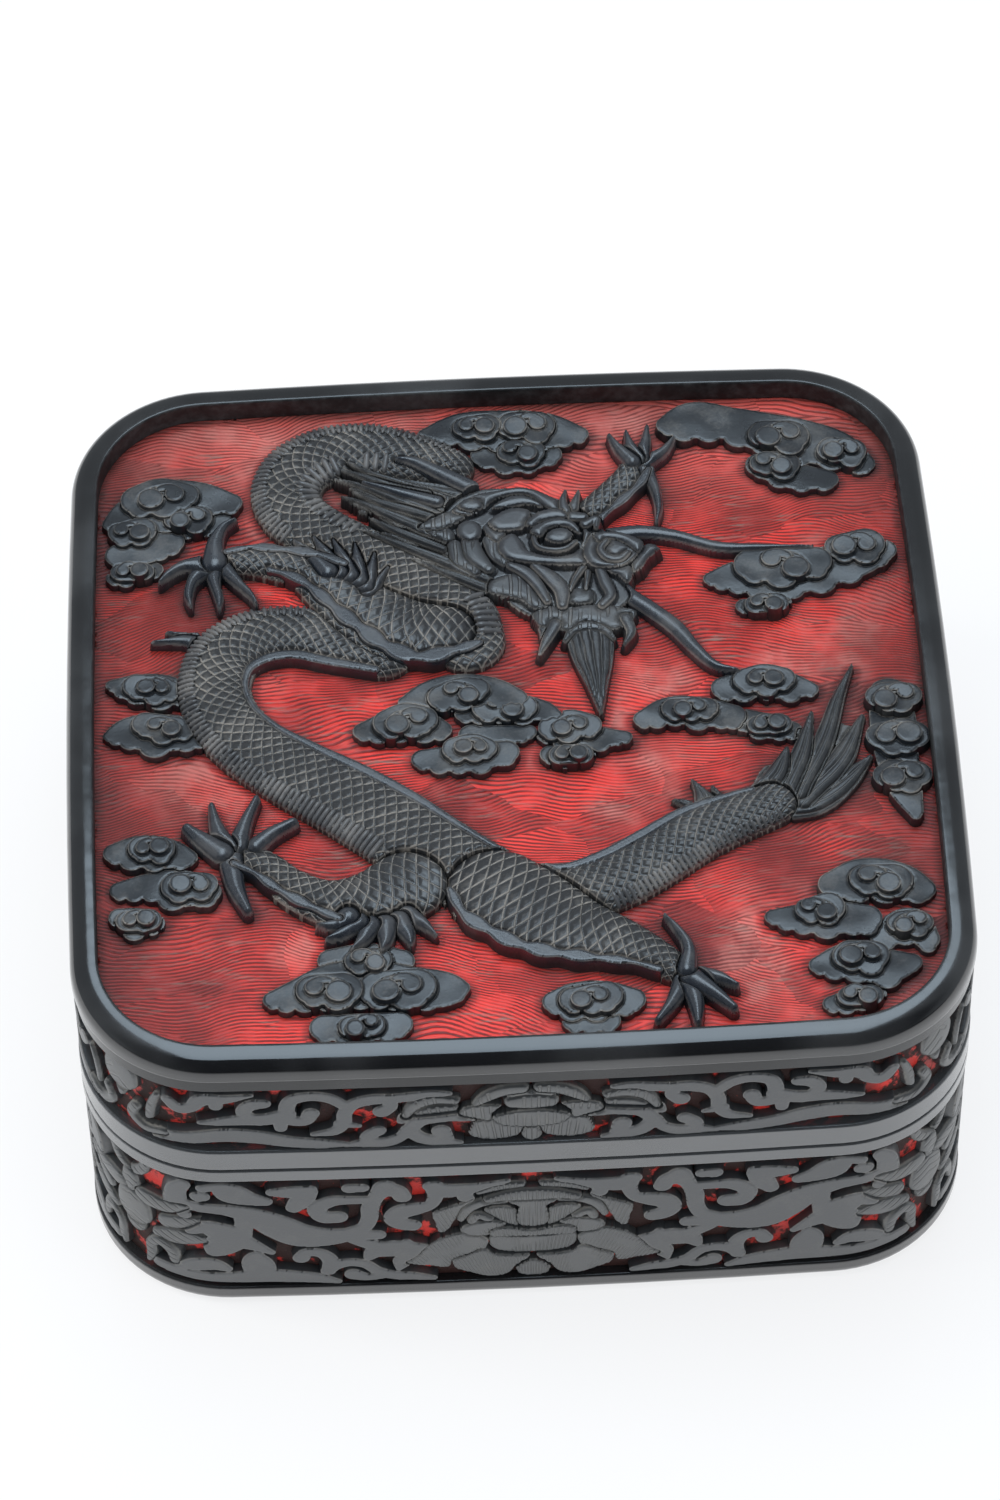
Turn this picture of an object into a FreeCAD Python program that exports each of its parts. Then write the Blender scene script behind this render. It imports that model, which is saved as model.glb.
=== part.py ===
import FreeCAD, Part
import Sketcher
import math
import os

# Square carved lacquer box in two halves: a base tray and a lift-off lid.
# A wooden core carries a red lacquer ground, and the raised ornament is the
# thick black lacquer left standing on it: scrolling lotus round the sides,
# a dragon amid clouds inside the rolled frame of the lid.
# The origin is the middle of the resting face, +Z is up, the front looks to -Y.

os.makedirs("parts", exist_ok=True)
doc = FreeCAD.newDocument("carved_lacquer_box")

# Driving dimensions in millimetres

SIZES = [
    ("side_length", 200.0, "width and depth across the middle of the sides"),
    ("side_radius", 2400.0, "radius of the slightly bowed sides"),
    ("corner_radius", 31.8, "radius of the upright corners"),
    ("foot_height", 5.9, "height of the foot moulding"),
    ("foot_round", 3.2, "rounding of the foot moulding under its edge"),
    ("foot_recess", 2.0, "depth of the underside inside the foot"),
    ("base_height", 52.0, "height of the seam over the resting face"),
    ("base_mouth", 4.5, "height of the plain moulding at the mouth of the base"),
    ("seam_gap", 0.3, "gap between base and lid"),
    ("lid_mouth", 7.0, "height of the plain moulding at the mouth of the lid"),
    ("lid_band", 22.3, "height of the carved band round the lid"),
    ("shoulder_band", 3.9, "height of the plain band under the frame"),
    ("frame_rise", 5.8, "height of the rolled frame over the top ground"),
    ("frame_width", 6.2, "width of the rolled frame"),
    ("frame_round", 5.2, "quarter round of the frame outside"),
    ("frame_ease", 0.5, "easing of the frame inside"),
    ("mouth_ease", 0.7, "easing of the mouth mouldings"),
    ("shoulder_inset", 0.5, "setback of the plain band under the frame"),
    ("relief_depth", 2.6, "depth of the side carving"),
    ("relief_inset", 0.3, "setback of the carved faces behind the mouldings"),
    ("crumb", 1.2, "width under which an island of relief breaks off"),
    ("ground_skin", 0.8, "thickness of the red lacquer on the sides"),
    ("wall_thickness", 4.4, "thickness of the wooden wall"),
    ("lining_skin", 0.8, "thickness of the black lacquer inside"),
    ("underside_skin", 0.8, "thickness of the black lacquer underneath"),
    ("board_thickness", 6.0, "thickness of the wooden boards"),
    ("top_skin", 1.0, "thickness of the red lacquer on the lid"),
    ("lip_rise", 4.0, "rise of the locating lip over the seam"),
    ("lip_seat", 8.0, "length of the locating lip below the seam"),
    ("lip_thickness", 2.2, "thickness of the locating lip"),
    ("lip_clearance", 0.4, "gap between lip and lid"),
    ("lip_ease", 0.6, "easing of the lip's top edge"),
    ("cloud_low", 2.2, "height of the lower cloud plates"),
    ("cloud_high", 3.4, "height of the upper cloud plates"),
    ("cloud_disc", 4.1, "height of the raised cloud curls"),
    ("body_relief", 4.3, "height of the dragon's body"),
    ("limb_relief", 4.5, "height of the dragon's limbs"),
    ("claw_relief", 3.4, "height of claws, whiskers, beard and fins"),
    ("head_relief", 5.0, "height of the dragon's head"),
    ("mane_relief", 4.7, "height of mane and horns"),
]

sheet = doc.addObject("Spreadsheet::Sheet", "Sizes")
for row, (alias, number, note) in enumerate(SIZES, start=1):
    sheet.set("A%d" % row, alias)
    sheet.set("B%d" % row, str(number))
    sheet.set("C%d" % row, note)
    sheet.setAlias("B%d" % row, alias)
doc.recompute()


def size(formula):
    """Number that a formula on the sheet's aliases gives."""
    return float(sheet.evalExpression(formula))


# Insets from the outer outline, and levels over the resting face

WALL_FACE = "Sizes.relief_depth + Sizes.ground_skin"
WALL_BACK = WALL_FACE + " + Sizes.wall_thickness"
LINING_FACE = WALL_BACK + " + Sizes.lining_skin"
LIP_BACK = LINING_FACE + " + Sizes.lip_thickness"
BOARD_LOW = "Sizes.foot_recess + Sizes.underside_skin"
BOARD_HIGH = BOARD_LOW + " + Sizes.board_thickness"
BASE_TOP = "Sizes.base_height - Sizes.seam_gap / 2"
BASE_BAND_TOP = "Sizes.base_height - Sizes.base_mouth"
LID_LOW = "Sizes.base_height + Sizes.seam_gap / 2"
LID_BAND_LOW = "Sizes.base_height + Sizes.lid_mouth"
LID_BAND_TOP = LID_BAND_LOW + " + Sizes.lid_band"
TOP_GROUND = LID_BAND_TOP + " + Sizes.shoulder_band"
LID_BOARD_TOP = TOP_GROUND + " - Sizes.top_skin"
LID_BOARD_LOW = LID_BOARD_TOP + " - Sizes.board_thickness"
LID_TOP = TOP_GROUND + " + Sizes.frame_rise"


def minus(formula, other):
    """Formula for one formula less another."""
    return "(%s) - (%s)" % (formula, other)


# Bowed square outline: four side arcs and four corner arcs about fixed centres


def side_offset():
    """Distance of a side arc's centre from the box's axis."""
    return size("Sizes.side_radius - Sizes.side_length / 2")


def corner_offset():
    """X and Y distance of a corner arc's centre from the box's axis."""
    reach = size("Sizes.side_radius - Sizes.corner_radius")
    behind = side_offset()
    return (math.sqrt(2 * reach * reach - behind * behind) - behind) / 2


def corner_turn():
    """Half of the angle that a side arc takes up."""
    return math.atan2(corner_offset(), side_offset() + corner_offset())


def outline_arcs(inset):
    """The eight arcs of the outline drawn in by inset, one after another."""
    side = size("Sizes.side_radius") - inset
    corner = size("Sizes.corner_radius") - inset
    behind = side_offset()
    centre = corner_offset()
    turn = corner_turn()
    axis = FreeCAD.Vector(0, 0, 1)
    arcs = []
    for quarter in range(4):
        facing = math.pi / 2 * (quarter - 1)
        back = FreeCAD.Vector(-behind * math.cos(facing), -behind * math.sin(facing), 0)
        circle = Part.Circle(back, axis, side)
        arcs.append(Part.ArcOfCircle(circle, facing - turn, facing + turn))
        diagonal = facing + math.pi / 4
        along = centre * math.sqrt(2)
        spot = FreeCAD.Vector(along * math.cos(diagonal), along * math.sin(diagonal), 0)
        circle = Part.Circle(spot, axis, corner)
        arcs.append(Part.ArcOfCircle(circle, facing + turn, facing + math.pi / 2 - turn))
    return arcs


def outline_solid(inset, low, high):
    """Solid bowed square drawn in by inset, between two levels."""
    wire = Part.Wire([arc.toShape() for arc in outline_arcs(inset)])
    wire.translate(FreeCAD.Vector(0, 0, low))
    return Part.Face(wire).extrude(FreeCAD.Vector(0, 0, high - low))


def draw_loop(sketch, inset):
    """Draw the outline in a sketch, its radii and centres bound to the sheet."""
    arcs = outline_arcs(size(inset))
    ids = sketch.addGeometry(arcs, False)
    for place in range(len(ids)):
        following = ids[(place + 1) % len(ids)]
        sketch.addConstraint(Sketcher.Constraint("Tangent", ids[place], 2, following, 1))
    for kind, alias in ((0, "side_radius"), (1, "corner_radius")):
        first = ids[kind]
        for twin in ids[kind + 2::2]:
            sketch.addConstraint(Sketcher.Constraint("Equal", first, twin))
        index = sketch.addConstraint(Sketcher.Constraint("Radius", first, arcs[kind].Radius))
        sketch.setExpression("Constraints[%d]" % index, "Sizes.%s - (%s)" % (alias, inset))
    for place, along in ((0, -2), (2, -1), (4, -2), (6, -1)):
        sketch.addConstraint(Sketcher.Constraint("PointOnObject", ids[place], 3, along))
        index = sketch.addConstraint(
            Sketcher.Constraint("Distance", ids[place], 3, -1, 1, side_offset()))
        sketch.setExpression("Constraints[%d]" % index, "Sizes.side_radius - Sizes.side_length / 2")


def add_sketch(body, level, insets):
    """Sketch on the body's XY plane at a level, with one loop for each inset."""
    sketch = body.newObject("Sketcher::SketchObject", body.Name + "_outline")
    plane = [item for item in body.Origin.OriginFeatures if item.Role == "XY_Plane"][0]
    sketch.AttachmentSupport = [(plane, "")]
    sketch.MapMode = "FlatFace"
    sketch.setExpression("AttachmentOffset.Base.z", level)
    for inset in insets:
        draw_loop(sketch, inset)
    return sketch


def add_pad(body, level, top, insets):
    """Pad one or two loops of the outline between two levels."""
    sketch = add_sketch(body, level, insets)
    pad = body.newObject("PartDesign::Pad", body.Name + "_pad")
    pad.Profile = sketch
    pad.setExpression("Length", minus(top, level))
    doc.recompute()
    return pad


def add_body(label, level, top, insets):
    """Body with one pad of the outline: a board, or a ring where it has two insets."""
    body = doc.addObject("PartDesign::Body", label)
    body.Label = label
    add_pad(body, level, top, insets)
    return body


NEAR_SHARE = 0.01


def edges_at(shape, level, inset):
    """Names of the edges that follow the outline drawn in by inset at a level."""
    radii = [size("Sizes.side_radius") - inset, size("Sizes.corner_radius") - inset]
    near = size("Sizes.seam_gap") * NEAR_SHARE
    names = []
    for number, edge in enumerate(shape.Edges, start=1):
        if not isinstance(edge.Curve, Part.Circle):
            continue
        if any(abs(vertex.Z - level) > near for vertex in edge.Vertexes):
            continue
        if min(abs(edge.Curve.Radius - radius) for radius in radii) < near:
            names.append("Edge%d" % number)
    return names


def ease(body, level, inset, alias):
    """Round the edge of a body at a level and inset by a size on the sheet."""
    tip = body.Tip
    fillet = body.newObject("PartDesign::Fillet", body.Name + "_" + alias)
    fillet.Base = (tip, edges_at(tip.Shape, size(level), size(inset)))
    fillet.setExpression("Radius", "Sizes." + alias)
    doc.recompute()


# Base: foot ring, board and wooden wall, with their lacquer inside and underneath

foot = add_body("base_foot_moulding", "0", "Sizes.foot_height", ["0", WALL_BACK])
ease(foot, "0", "0", "foot_round")
ease(foot, "Sizes.foot_height", "0", "mouth_ease")

add_body("base_underside_lacquer", "Sizes.foot_recess", BOARD_LOW, [WALL_BACK])
add_body("base_floor_board", BOARD_LOW, BOARD_HIGH, [WALL_BACK])
add_body("base_core_wall", "Sizes.foot_height", BASE_TOP, [WALL_FACE, WALL_BACK])

base_mouth = add_body("base_mouth_moulding", BASE_BAND_TOP, BASE_TOP, ["0", WALL_FACE])
ease(base_mouth, BASE_TOP, "0", "mouth_ease")
ease(base_mouth, BASE_BAND_TOP, "0", "mouth_ease")

add_body("base_side_ground", "Sizes.foot_height", BASE_BAND_TOP, ["Sizes.relief_depth", WALL_FACE])

base_lining = add_body("base_lining", BOARD_HIGH, BOARD_HIGH + " + Sizes.lining_skin", [WALL_BACK])
add_pad(base_lining, BOARD_HIGH + " + Sizes.lining_skin", BASE_TOP, [WALL_BACK, LINING_FACE])

# The locating lip is glued inside the base and stands up into the lid

LIP_TOP = "Sizes.base_height + Sizes.lip_rise"
LIP_FACE = LINING_FACE + " + Sizes.lip_clearance"
lip = add_body("base_locating_lip", "Sizes.base_height - Sizes.lip_seat", BASE_TOP,
               [LINING_FACE, LIP_BACK])
add_pad(lip, BASE_TOP, LIP_TOP, [LIP_FACE, LIP_BACK])
ease(lip, LIP_TOP, LIP_FACE, "lip_ease")

# Lid: wooden wall and panel, their lacquer, and the rolled frame round the top

add_body("lid_core_wall", LID_LOW, LID_BOARD_TOP, [WALL_FACE, WALL_BACK])
add_body("lid_top_board", LID_BOARD_LOW, LID_BOARD_TOP, [WALL_BACK])

lid_mouth = add_body("lid_mouth_moulding", LID_LOW, LID_BAND_LOW, ["0", WALL_FACE])
ease(lid_mouth, LID_LOW, "0", "mouth_ease")
ease(lid_mouth, LID_BAND_LOW, "0", "mouth_ease")

add_body("lid_side_ground", LID_BAND_LOW, LID_BAND_TOP, ["Sizes.relief_depth", WALL_FACE])
add_body("lid_shoulder_band", LID_BAND_TOP, TOP_GROUND, ["Sizes.shoulder_inset", WALL_FACE])
add_body("lid_top_ground", LID_BOARD_TOP, TOP_GROUND, [WALL_FACE])

frame = add_body("lid_frame_moulding", TOP_GROUND, LID_TOP, ["0", "Sizes.frame_width"])
ease(frame, LID_TOP, "0", "frame_round")
ease(frame, LID_TOP, "Sizes.frame_width", "frame_ease")

LID_LINING_LOW = LID_BOARD_LOW + " - Sizes.lining_skin"
lid_lining = add_body("lid_lining", LID_LINING_LOW, LID_BOARD_LOW, [WALL_BACK])
add_pad(lid_lining, LID_LOW, LID_LINING_LOW, [WALL_BACK, LINING_FACE])

# Brush strokes and petals: the outlines that the carver's knife left standing

half_side = size("Sizes.side_length") / 2


def spline_edge(points):
    """Smooth edge through points, or a straight one through two."""
    if len(points) == 2:
        return Part.LineSegment(points[0], points[1]).toShape()
    curve = Part.BSplineCurve()
    curve.interpolate(points)
    return curve.toShape()


def stroke_face(shares, across, up):
    """Face round a stroke of (across, up, half width) shares, with round ends."""
    spots = [FreeCAD.Vector(u * across, v * up, 0) for u, v, w in shares]
    widths = [w * half_side for u, v, w in shares]
    left = []
    right = []
    headings = []
    for place, spot in enumerate(spots):
        heading = spots[min(place + 1, len(spots) - 1)] - spots[max(place - 1, 0)]
        heading.normalize()
        normal = FreeCAD.Vector(-heading.y, heading.x, 0)
        left.append(spot + normal * widths[place])
        right.append(spot - normal * widths[place])
        headings.append(heading)
    front = spots[-1] + headings[-1] * widths[-1]
    back = spots[0] - headings[0] * widths[0]
    edges = [
        spline_edge(left),
        Part.Arc(left[-1], front, right[-1]).toShape(),
        spline_edge(list(reversed(right))),
        Part.Arc(right[0], back, left[0]).toShape(),
    ]
    return Part.Face(Part.Wire(edges))


def petal_face(shares, across, up):
    """Face inside a smooth closed outline of (across, up) shares."""
    points = [FreeCAD.Vector(u * across, v * up, 0) for u, v in shares]
    curve = Part.BSplineCurve()
    curve.interpolate(points, PeriodicFlag=True)
    return Part.Face(Part.Wire(curve.toShape()))


def drawn_face(shares, across, up):
    """Stroke or petal, told apart by what each of its points holds."""
    if len(shares[0]) == 3:
        return stroke_face(shares, across, up)
    return petal_face(shares, across, up)


def mirrored(shares):
    """The same outline on the other side of the middle."""
    return [(-point[0],) + tuple(point[1:]) for point in shares]


def joined(drawings, across, up):
    """Flat shape of many overlapping drawings, bounded by their common rim."""
    faces = [drawn_face(shares, across, up) for shares in drawings]
    if len(faces) > 1:
        faces = faces[0].multiFuse(faces[1:]).Faces
    uses = {}
    for face in faces:
        for edge in face.Edges:
            uses.setdefault(edge.hashCode(), []).append(edge)
    rim = [edges[0] for edges in uses.values() if len(edges) == 1]
    wires = [Part.Wire(run) for run in Part.sortEdges(rim)]
    return Part.makeFace(wires, "Part::FaceMakerBullseye")


def clear_of(shape, fronts):
    """The solids of a shape, each cut by the solids in front that it may meet."""
    kept = []
    for solid in shape.Solids:
        for front in fronts:
            for block in front.Solids:
                if solid.BoundBox.intersect(block.BoundBox):
                    solid = solid.cut(block)
        kept.extend(solid.Solids)
    return Part.Compound(kept)


def without_crumbs(shape):
    """The islands of a cut relief, less the crumbs that a knife would flick away."""
    least = size("Sizes.crumb ^ 3")
    return Part.Compound([solid for solid in shape.Solids if solid.Volume > least])


def add_feature(label, shape, quarters=0):
    """Node with a ready shape, turned about the box by quarters of a turn."""
    feature = doc.addObject("Part::Feature", label)
    feature.Label = label
    feature.Shape = without_crumbs(shape)
    turn = FreeCAD.Rotation(FreeCAD.Vector(0, 0, 1), 90 * quarters)
    feature.Placement = FreeCAD.Placement(FreeCAD.Vector(0, 0, 0), turn)
    return feature


# Side carving. Across is a share of half the side, up is a share of the band,
# and half widths are shares of half the side. Each list is the right half.

BASE_VINE_SHARES = [
    [(0.055, 0.925, 0.006), (0.10, 0.885, 0.012), (0.15, 0.86, 0.017), (0.20, 0.86, 0.020),
     (0.225, 0.90, 0.014)],
    [(0.15, 0.86, 0.016), (0.148, 0.79, 0.015)],
    [(0.215, 0.89, 0.018), (0.215, 0.80, 0.014), (0.228, 0.725, 0.013), (0.26, 0.695, 0.018),
     (0.295, 0.665, 0.021), (0.306, 0.61, 0.020), (0.292, 0.56, 0.018), (0.268, 0.54, 0.016)],
    [(0.288, 0.81, 0.016), (0.297, 0.86, 0.017), (0.325, 0.89, 0.022)],
    [(0.325, 0.90, 0.022), (0.345, 0.82, 0.015), (0.36, 0.72, 0.016), (0.363, 0.62, 0.015),
     (0.375, 0.54, 0.015), (0.41, 0.48, 0.018)],
    [(0.345, 0.46, 0.014), (0.40, 0.47, 0.016)],
    [(0.35, 0.79, 0.012), (0.40, 0.795, 0.012), (0.45, 0.785, 0.016), (0.478, 0.72, 0.017),
     (0.463, 0.645, 0.018), (0.432, 0.64, 0.017)],
    [(0.375, 0.905, 0.012), (0.405, 0.905, 0.013)],
    [(0.40, 0.475, 0.018), (0.46, 0.455, 0.026), (0.52, 0.48, 0.034), (0.565, 0.56, 0.034),
     (0.61, 0.65, 0.026), (0.68, 0.73, 0.016), (0.74, 0.745, 0.014), (0.785, 0.755, 0.017)],
    [(0.77, 0.94, 0.013), (0.785, 0.88, 0.017), (0.79, 0.80, 0.020), (0.79, 0.72, 0.020),
     (0.775, 0.66, 0.014)],
    [(0.49, 0.905, 0.012), (0.53, 0.885, 0.017), (0.575, 0.885, 0.011)],
    [(0.495, 0.88, 0.017), (0.51, 0.81, 0.021), (0.528, 0.74, 0.015)],
    [(0.59, 0.80, 0.012), (0.63, 0.835, 0.020), (0.665, 0.885, 0.027), (0.70, 0.94, 0.012),
     (0.73, 0.92, 0.010)],
    [(0.730, 0.85, 0.014), (0.740, 0.84, 0.014)],
    [(0.645, 0.68, 0.016), (0.642, 0.60, 0.016), (0.65, 0.52, 0.020), (0.675, 0.45, 0.034),
     (0.70, 0.385, 0.028), (0.715, 0.335, 0.014)],
    [(0.665, 0.47, 0.030), (0.70, 0.53, 0.026), (0.725, 0.56, 0.020), (0.765, 0.50, 0.008)],
    [(0.66, 0.45, 0.024), (0.62, 0.385, 0.014), (0.585, 0.32, 0.007)],
    [(0.225, 0.03, 0.007), (0.27, 0.055, 0.012), (0.32, 0.075, 0.013), (0.352, 0.12, 0.012),
     (0.375, 0.18, 0.012), (0.41, 0.205, 0.012), (0.445, 0.18, 0.014), (0.462, 0.13, 0.013)],
    [(0.34, 0.07, 0.010), (0.375, 0.06, 0.011), (0.405, 0.09, 0.016)],
    [(0.46, 0.13, 0.013), (0.455, 0.23, 0.015), (0.475, 0.30, 0.013), (0.508, 0.31, 0.013),
     (0.520, 0.26, 0.015)],
    [(0.44, 0.025, 0.007), (0.48, 0.06, 0.014), (0.54, 0.085, 0.018), (0.60, 0.10, 0.020),
     (0.68, 0.09, 0.016), (0.76, 0.085, 0.014), (0.84, 0.09, 0.013)],
    [(0.61, 0.10, 0.018), (0.615, 0.18, 0.029), (0.622, 0.26, 0.021), (0.618, 0.31, 0.009)],
    [(0.685, 0.17, 0.008), (0.715, 0.21, 0.017), (0.75, 0.195, 0.018), (0.795, 0.135, 0.008)],
    [(0.22, 0.27, 0.020), (0.27, 0.31, 0.022), (0.32, 0.325, 0.024), (0.355, 0.30, 0.018),
     (0.368, 0.25, 0.010)],
    [(0.275, 0.33, 0.016), (0.283, 0.385, 0.009)],
    [(0.335, 0.34, 0.016), (0.375, 0.385, 0.014), (0.405, 0.41, 0.007)],
    [(0.25, 0.23, 0.020), (0.288, 0.215, 0.020), (0.302, 0.13, 0.006)],
]

BASE_LOTUS_SHARES = [
    [(0.02, 0.06), (0.10, 0.03), (0.16, 0.08), (0.225, 0.14), (0.27, 0.20), (0.25, 0.30),
     (0.22, 0.38), (0.18, 0.44), (0.12, 0.45), (0.07, 0.38), (0.04, 0.22)],
    [(0.20, 0.45, 0.010), (0.207, 0.55, 0.018), (0.18, 0.64, 0.018), (0.145, 0.72, 0.010)],
    [(0.155, 0.49, 0.012), (0.11, 0.50, 0.020), (0.07, 0.57, 0.022), (0.09, 0.66, 0.022),
     (0.13, 0.67, 0.010)],
    [(0.0, 0.79, 0.020), (0.06, 0.79, 0.018), (0.115, 0.765, 0.010)],
    [(0.025, 0.86, 0.010), (0.07, 0.85, 0.011), (0.12, 0.815, 0.006)],
    [(0.0, 0.30, 0.085), (0.0, 0.42, 0.085)],
    [(0.0, 0.52, 0.045), (0.0, 0.66, 0.050)],
    [(0.0, 0.04, 0.012), (0.0, 0.10, 0.030)],
]

BASE_CORNER_SHARES = [
    [(-0.105, 0.17, 0.013), (-0.098, 0.25, 0.016), (-0.072, 0.295, 0.016), (-0.047, 0.24, 0.014),
     (-0.045, 0.14, 0.014), (-0.038, 0.07, 0.009)],
    [(0.0, 0.47, 0.052), (0.0, 0.52, 0.050)],
    [(-0.07, 0.36, 0.020), (-0.12, 0.40, 0.028), (-0.165, 0.42, 0.016)],
    [(-0.09, 0.50, 0.024), (-0.13, 0.55, 0.020), (-0.16, 0.60, 0.010)],
    [(-0.04, 0.66, 0.028), (-0.10, 0.67, 0.022), (-0.14, 0.72, 0.010)],
    [(0.0, 0.70, 0.030), (0.0, 0.78, 0.024)],
    [(-0.05, 0.97, 0.012), (-0.03, 0.88, 0.016), (0.0, 0.84, 0.012)],
    [(0.0, 0.33, 0.030), (0.0, 0.38, 0.030)],
]

LID_VINE_SHARES = [
    [(0.178, 0.86, 0.006), (0.21, 0.86, 0.011), (0.26, 0.83, 0.013), (0.30, 0.81, 0.013),
     (0.35, 0.80, 0.015), (0.387, 0.73, 0.014), (0.405, 0.58, 0.013), (0.408, 0.43, 0.013),
     (0.425, 0.31, 0.012), (0.475, 0.25, 0.006)],
    [(0.31, 0.80, 0.013), (0.306, 0.68, 0.013), (0.324, 0.60, 0.016)],
    [(0.415, 0.42, 0.012), (0.375, 0.37, 0.005)],
    [(0.405, 0.72, 0.012), (0.435, 0.84, 0.013), (0.48, 0.885, 0.013), (0.52, 0.82, 0.014),
     (0.530, 0.68, 0.014), (0.522, 0.50, 0.014), (0.492, 0.48, 0.013), (0.478, 0.60, 0.015)],
    [(0.53, 0.60, 0.016), (0.57, 0.53, 0.017), (0.63, 0.52, 0.015), (0.68, 0.50, 0.011),
     (0.72, 0.475, 0.005)],
    [(0.545, 0.50, 0.014), (0.545, 0.37, 0.011)],
    [(0.578, 0.78, 0.012), (0.607, 0.76, 0.015), (0.624, 0.66, 0.013), (0.61, 0.55, 0.013)],
    [(0.605, 0.92, 0.005), (0.66, 0.87, 0.012), (0.715, 0.85, 0.016), (0.735, 0.73, 0.013),
     (0.765, 0.68, 0.014), (0.785, 0.77, 0.012)],
    [(0.68, 0.86, 0.012), (0.682, 0.76, 0.012)],
    [(0.405, 0.07, 0.007), (0.46, 0.09, 0.014), (0.53, 0.14, 0.016), (0.60, 0.23, 0.019),
     (0.68, 0.27, 0.019), (0.75, 0.20, 0.016), (0.82, 0.14, 0.013)],
    [(0.13, 0.45, 0.011), (0.20, 0.455, 0.012), (0.245, 0.41, 0.015), (0.262, 0.28, 0.015),
     (0.245, 0.15, 0.015), (0.20, 0.07, 0.014), (0.158, 0.03, 0.007)],
    [(0.19, 0.10, 0.016), (0.197, 0.24, 0.017)],
    [(0.272, 0.30, 0.010), (0.285, 0.17, 0.012), (0.315, 0.09, 0.014), (0.36, 0.085, 0.013),
     (0.405, 0.05, 0.006)],
    [(0.36, 0.10, 0.014), (0.355, 0.20, 0.014), (0.334, 0.28, 0.014)],
    [(0.172, 0.67, 0.012), (0.205, 0.69, 0.013), (0.25, 0.62, 0.013), (0.275, 0.50, 0.012),
     (0.283, 0.43, 0.008)],
]

LID_LOTUS_SHARES = [
    [(0.02, 0.06), (0.08, 0.03), (0.125, 0.08), (0.142, 0.22), (0.12, 0.34), (0.05, 0.30)],
    [(0.08, 0.50, 0.022), (0.12, 0.52, 0.015), (0.15, 0.55, 0.008)],
    [(0.0, 0.34, 0.050), (0.035, 0.40, 0.045)],
    [(0.0, 0.64, 0.020), (0.045, 0.66, 0.017), (0.07, 0.60, 0.009)],
    [(0.0, 0.84, 0.016), (0.05, 0.85, 0.015), (0.09, 0.77, 0.010)],
    [(0.0, 0.12, 0.020), (0.0, 0.20, 0.020)],
]

LID_CORNER_SHARES = [
    [(-0.110, 0.19, 0.012), (-0.060, 0.15, 0.014), (-0.030, 0.28, 0.014), (-0.042, 0.43, 0.013)],
    [(-0.075, 0.36, 0.010), (-0.078, 0.48, 0.011), (-0.085, 0.62, 0.010), (-0.098, 0.78, 0.008)],
    [(0.0, 0.78, 0.048), (0.0, 0.84, 0.048)],
    [(0.0, 0.48, 0.010), (0.0, 0.60, 0.020)],
]


def upright(drawings, low, high):
    """Prism of drawings, stood up on the front side and pushed out past the wall."""
    flat = joined(drawings, half_side, high - low)
    turn = FreeCAD.Rotation(FreeCAD.Vector(1, 0, 0), 90)
    flat.Placement = FreeCAD.Placement(FreeCAD.Vector(0, 0, low), turn)
    return flat.extrude(FreeCAD.Vector(0, -size("Sizes.side_length"), 0))


def both_halves(drawings):
    """Drawings that keep to one half, with their mirror images."""
    crossing = [shares for shares in drawings if not any(point[0] for point in shares)]
    halves = [shares for shares in drawings if any(point[0] for point in shares)]
    return crossing + halves + [mirrored(shares) for shares in halves]


def carved(prism, low, high):
    """Part of a prism that lies in the carved depth of the wall."""
    face = prism.common(outline_solid(size("Sizes.relief_inset"), low, high))
    return face.cut(outline_solid(size("Sizes.relief_depth"), low, high))


def turned(shape, angle):
    """Copy of a shape, turned about the box."""
    copy = shape.copy()
    copy.rotate(FreeCAD.Vector(0, 0, 0), FreeCAD.Vector(0, 0, 1), angle)
    return copy


def blossom(drawings, low, high, angle):
    """Relief of one blossom, on the front side or turned to a corner."""
    prism = upright(both_halves(drawings), low, high)
    return carved(turned(prism, angle), low, high)


SIDE_NAMES = ["front", "right", "back", "left"]
CORNER_ANGLE = 45


def add_side_carving(half, low, high, vine, lotus, corner):
    """Vine and lotus on each side of one half of the box, and its four corner blossoms."""
    middle = blossom(lotus, low, high, 0)
    first = blossom(corner, low, high, CORNER_ANGLE)
    corners = [turned(first, 90 * quarters) for quarters in range(4)]
    right = clear_of(carved(upright(vine, low, high), low, high), [middle, first])
    left = right.mirror(FreeCAD.Vector(0, 0, 0), FreeCAD.Vector(1, 0, 0))
    scroll = Part.Compound([left, right])
    for quarters, side in enumerate(SIDE_NAMES):
        add_feature("%s_scroll_%s" % (half, side), scroll, quarters)
        add_feature("%s_lotus_%s" % (half, side), middle, quarters)
    add_feature("%s_corner_blossoms" % half, Part.Compound(corners))


add_side_carving("base", size("Sizes.foot_height"), size(BASE_BAND_TOP),
                 BASE_VINE_SHARES, BASE_LOTUS_SHARES, BASE_CORNER_SHARES)
add_side_carving("lid", size(LID_BAND_LOW), size(LID_BAND_TOP),
                 LID_VINE_SHARES, LID_LOTUS_SHARES, LID_CORNER_SHARES)

# Top carving: the dragon. All numbers are shares of half the side, seen from above.

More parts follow.
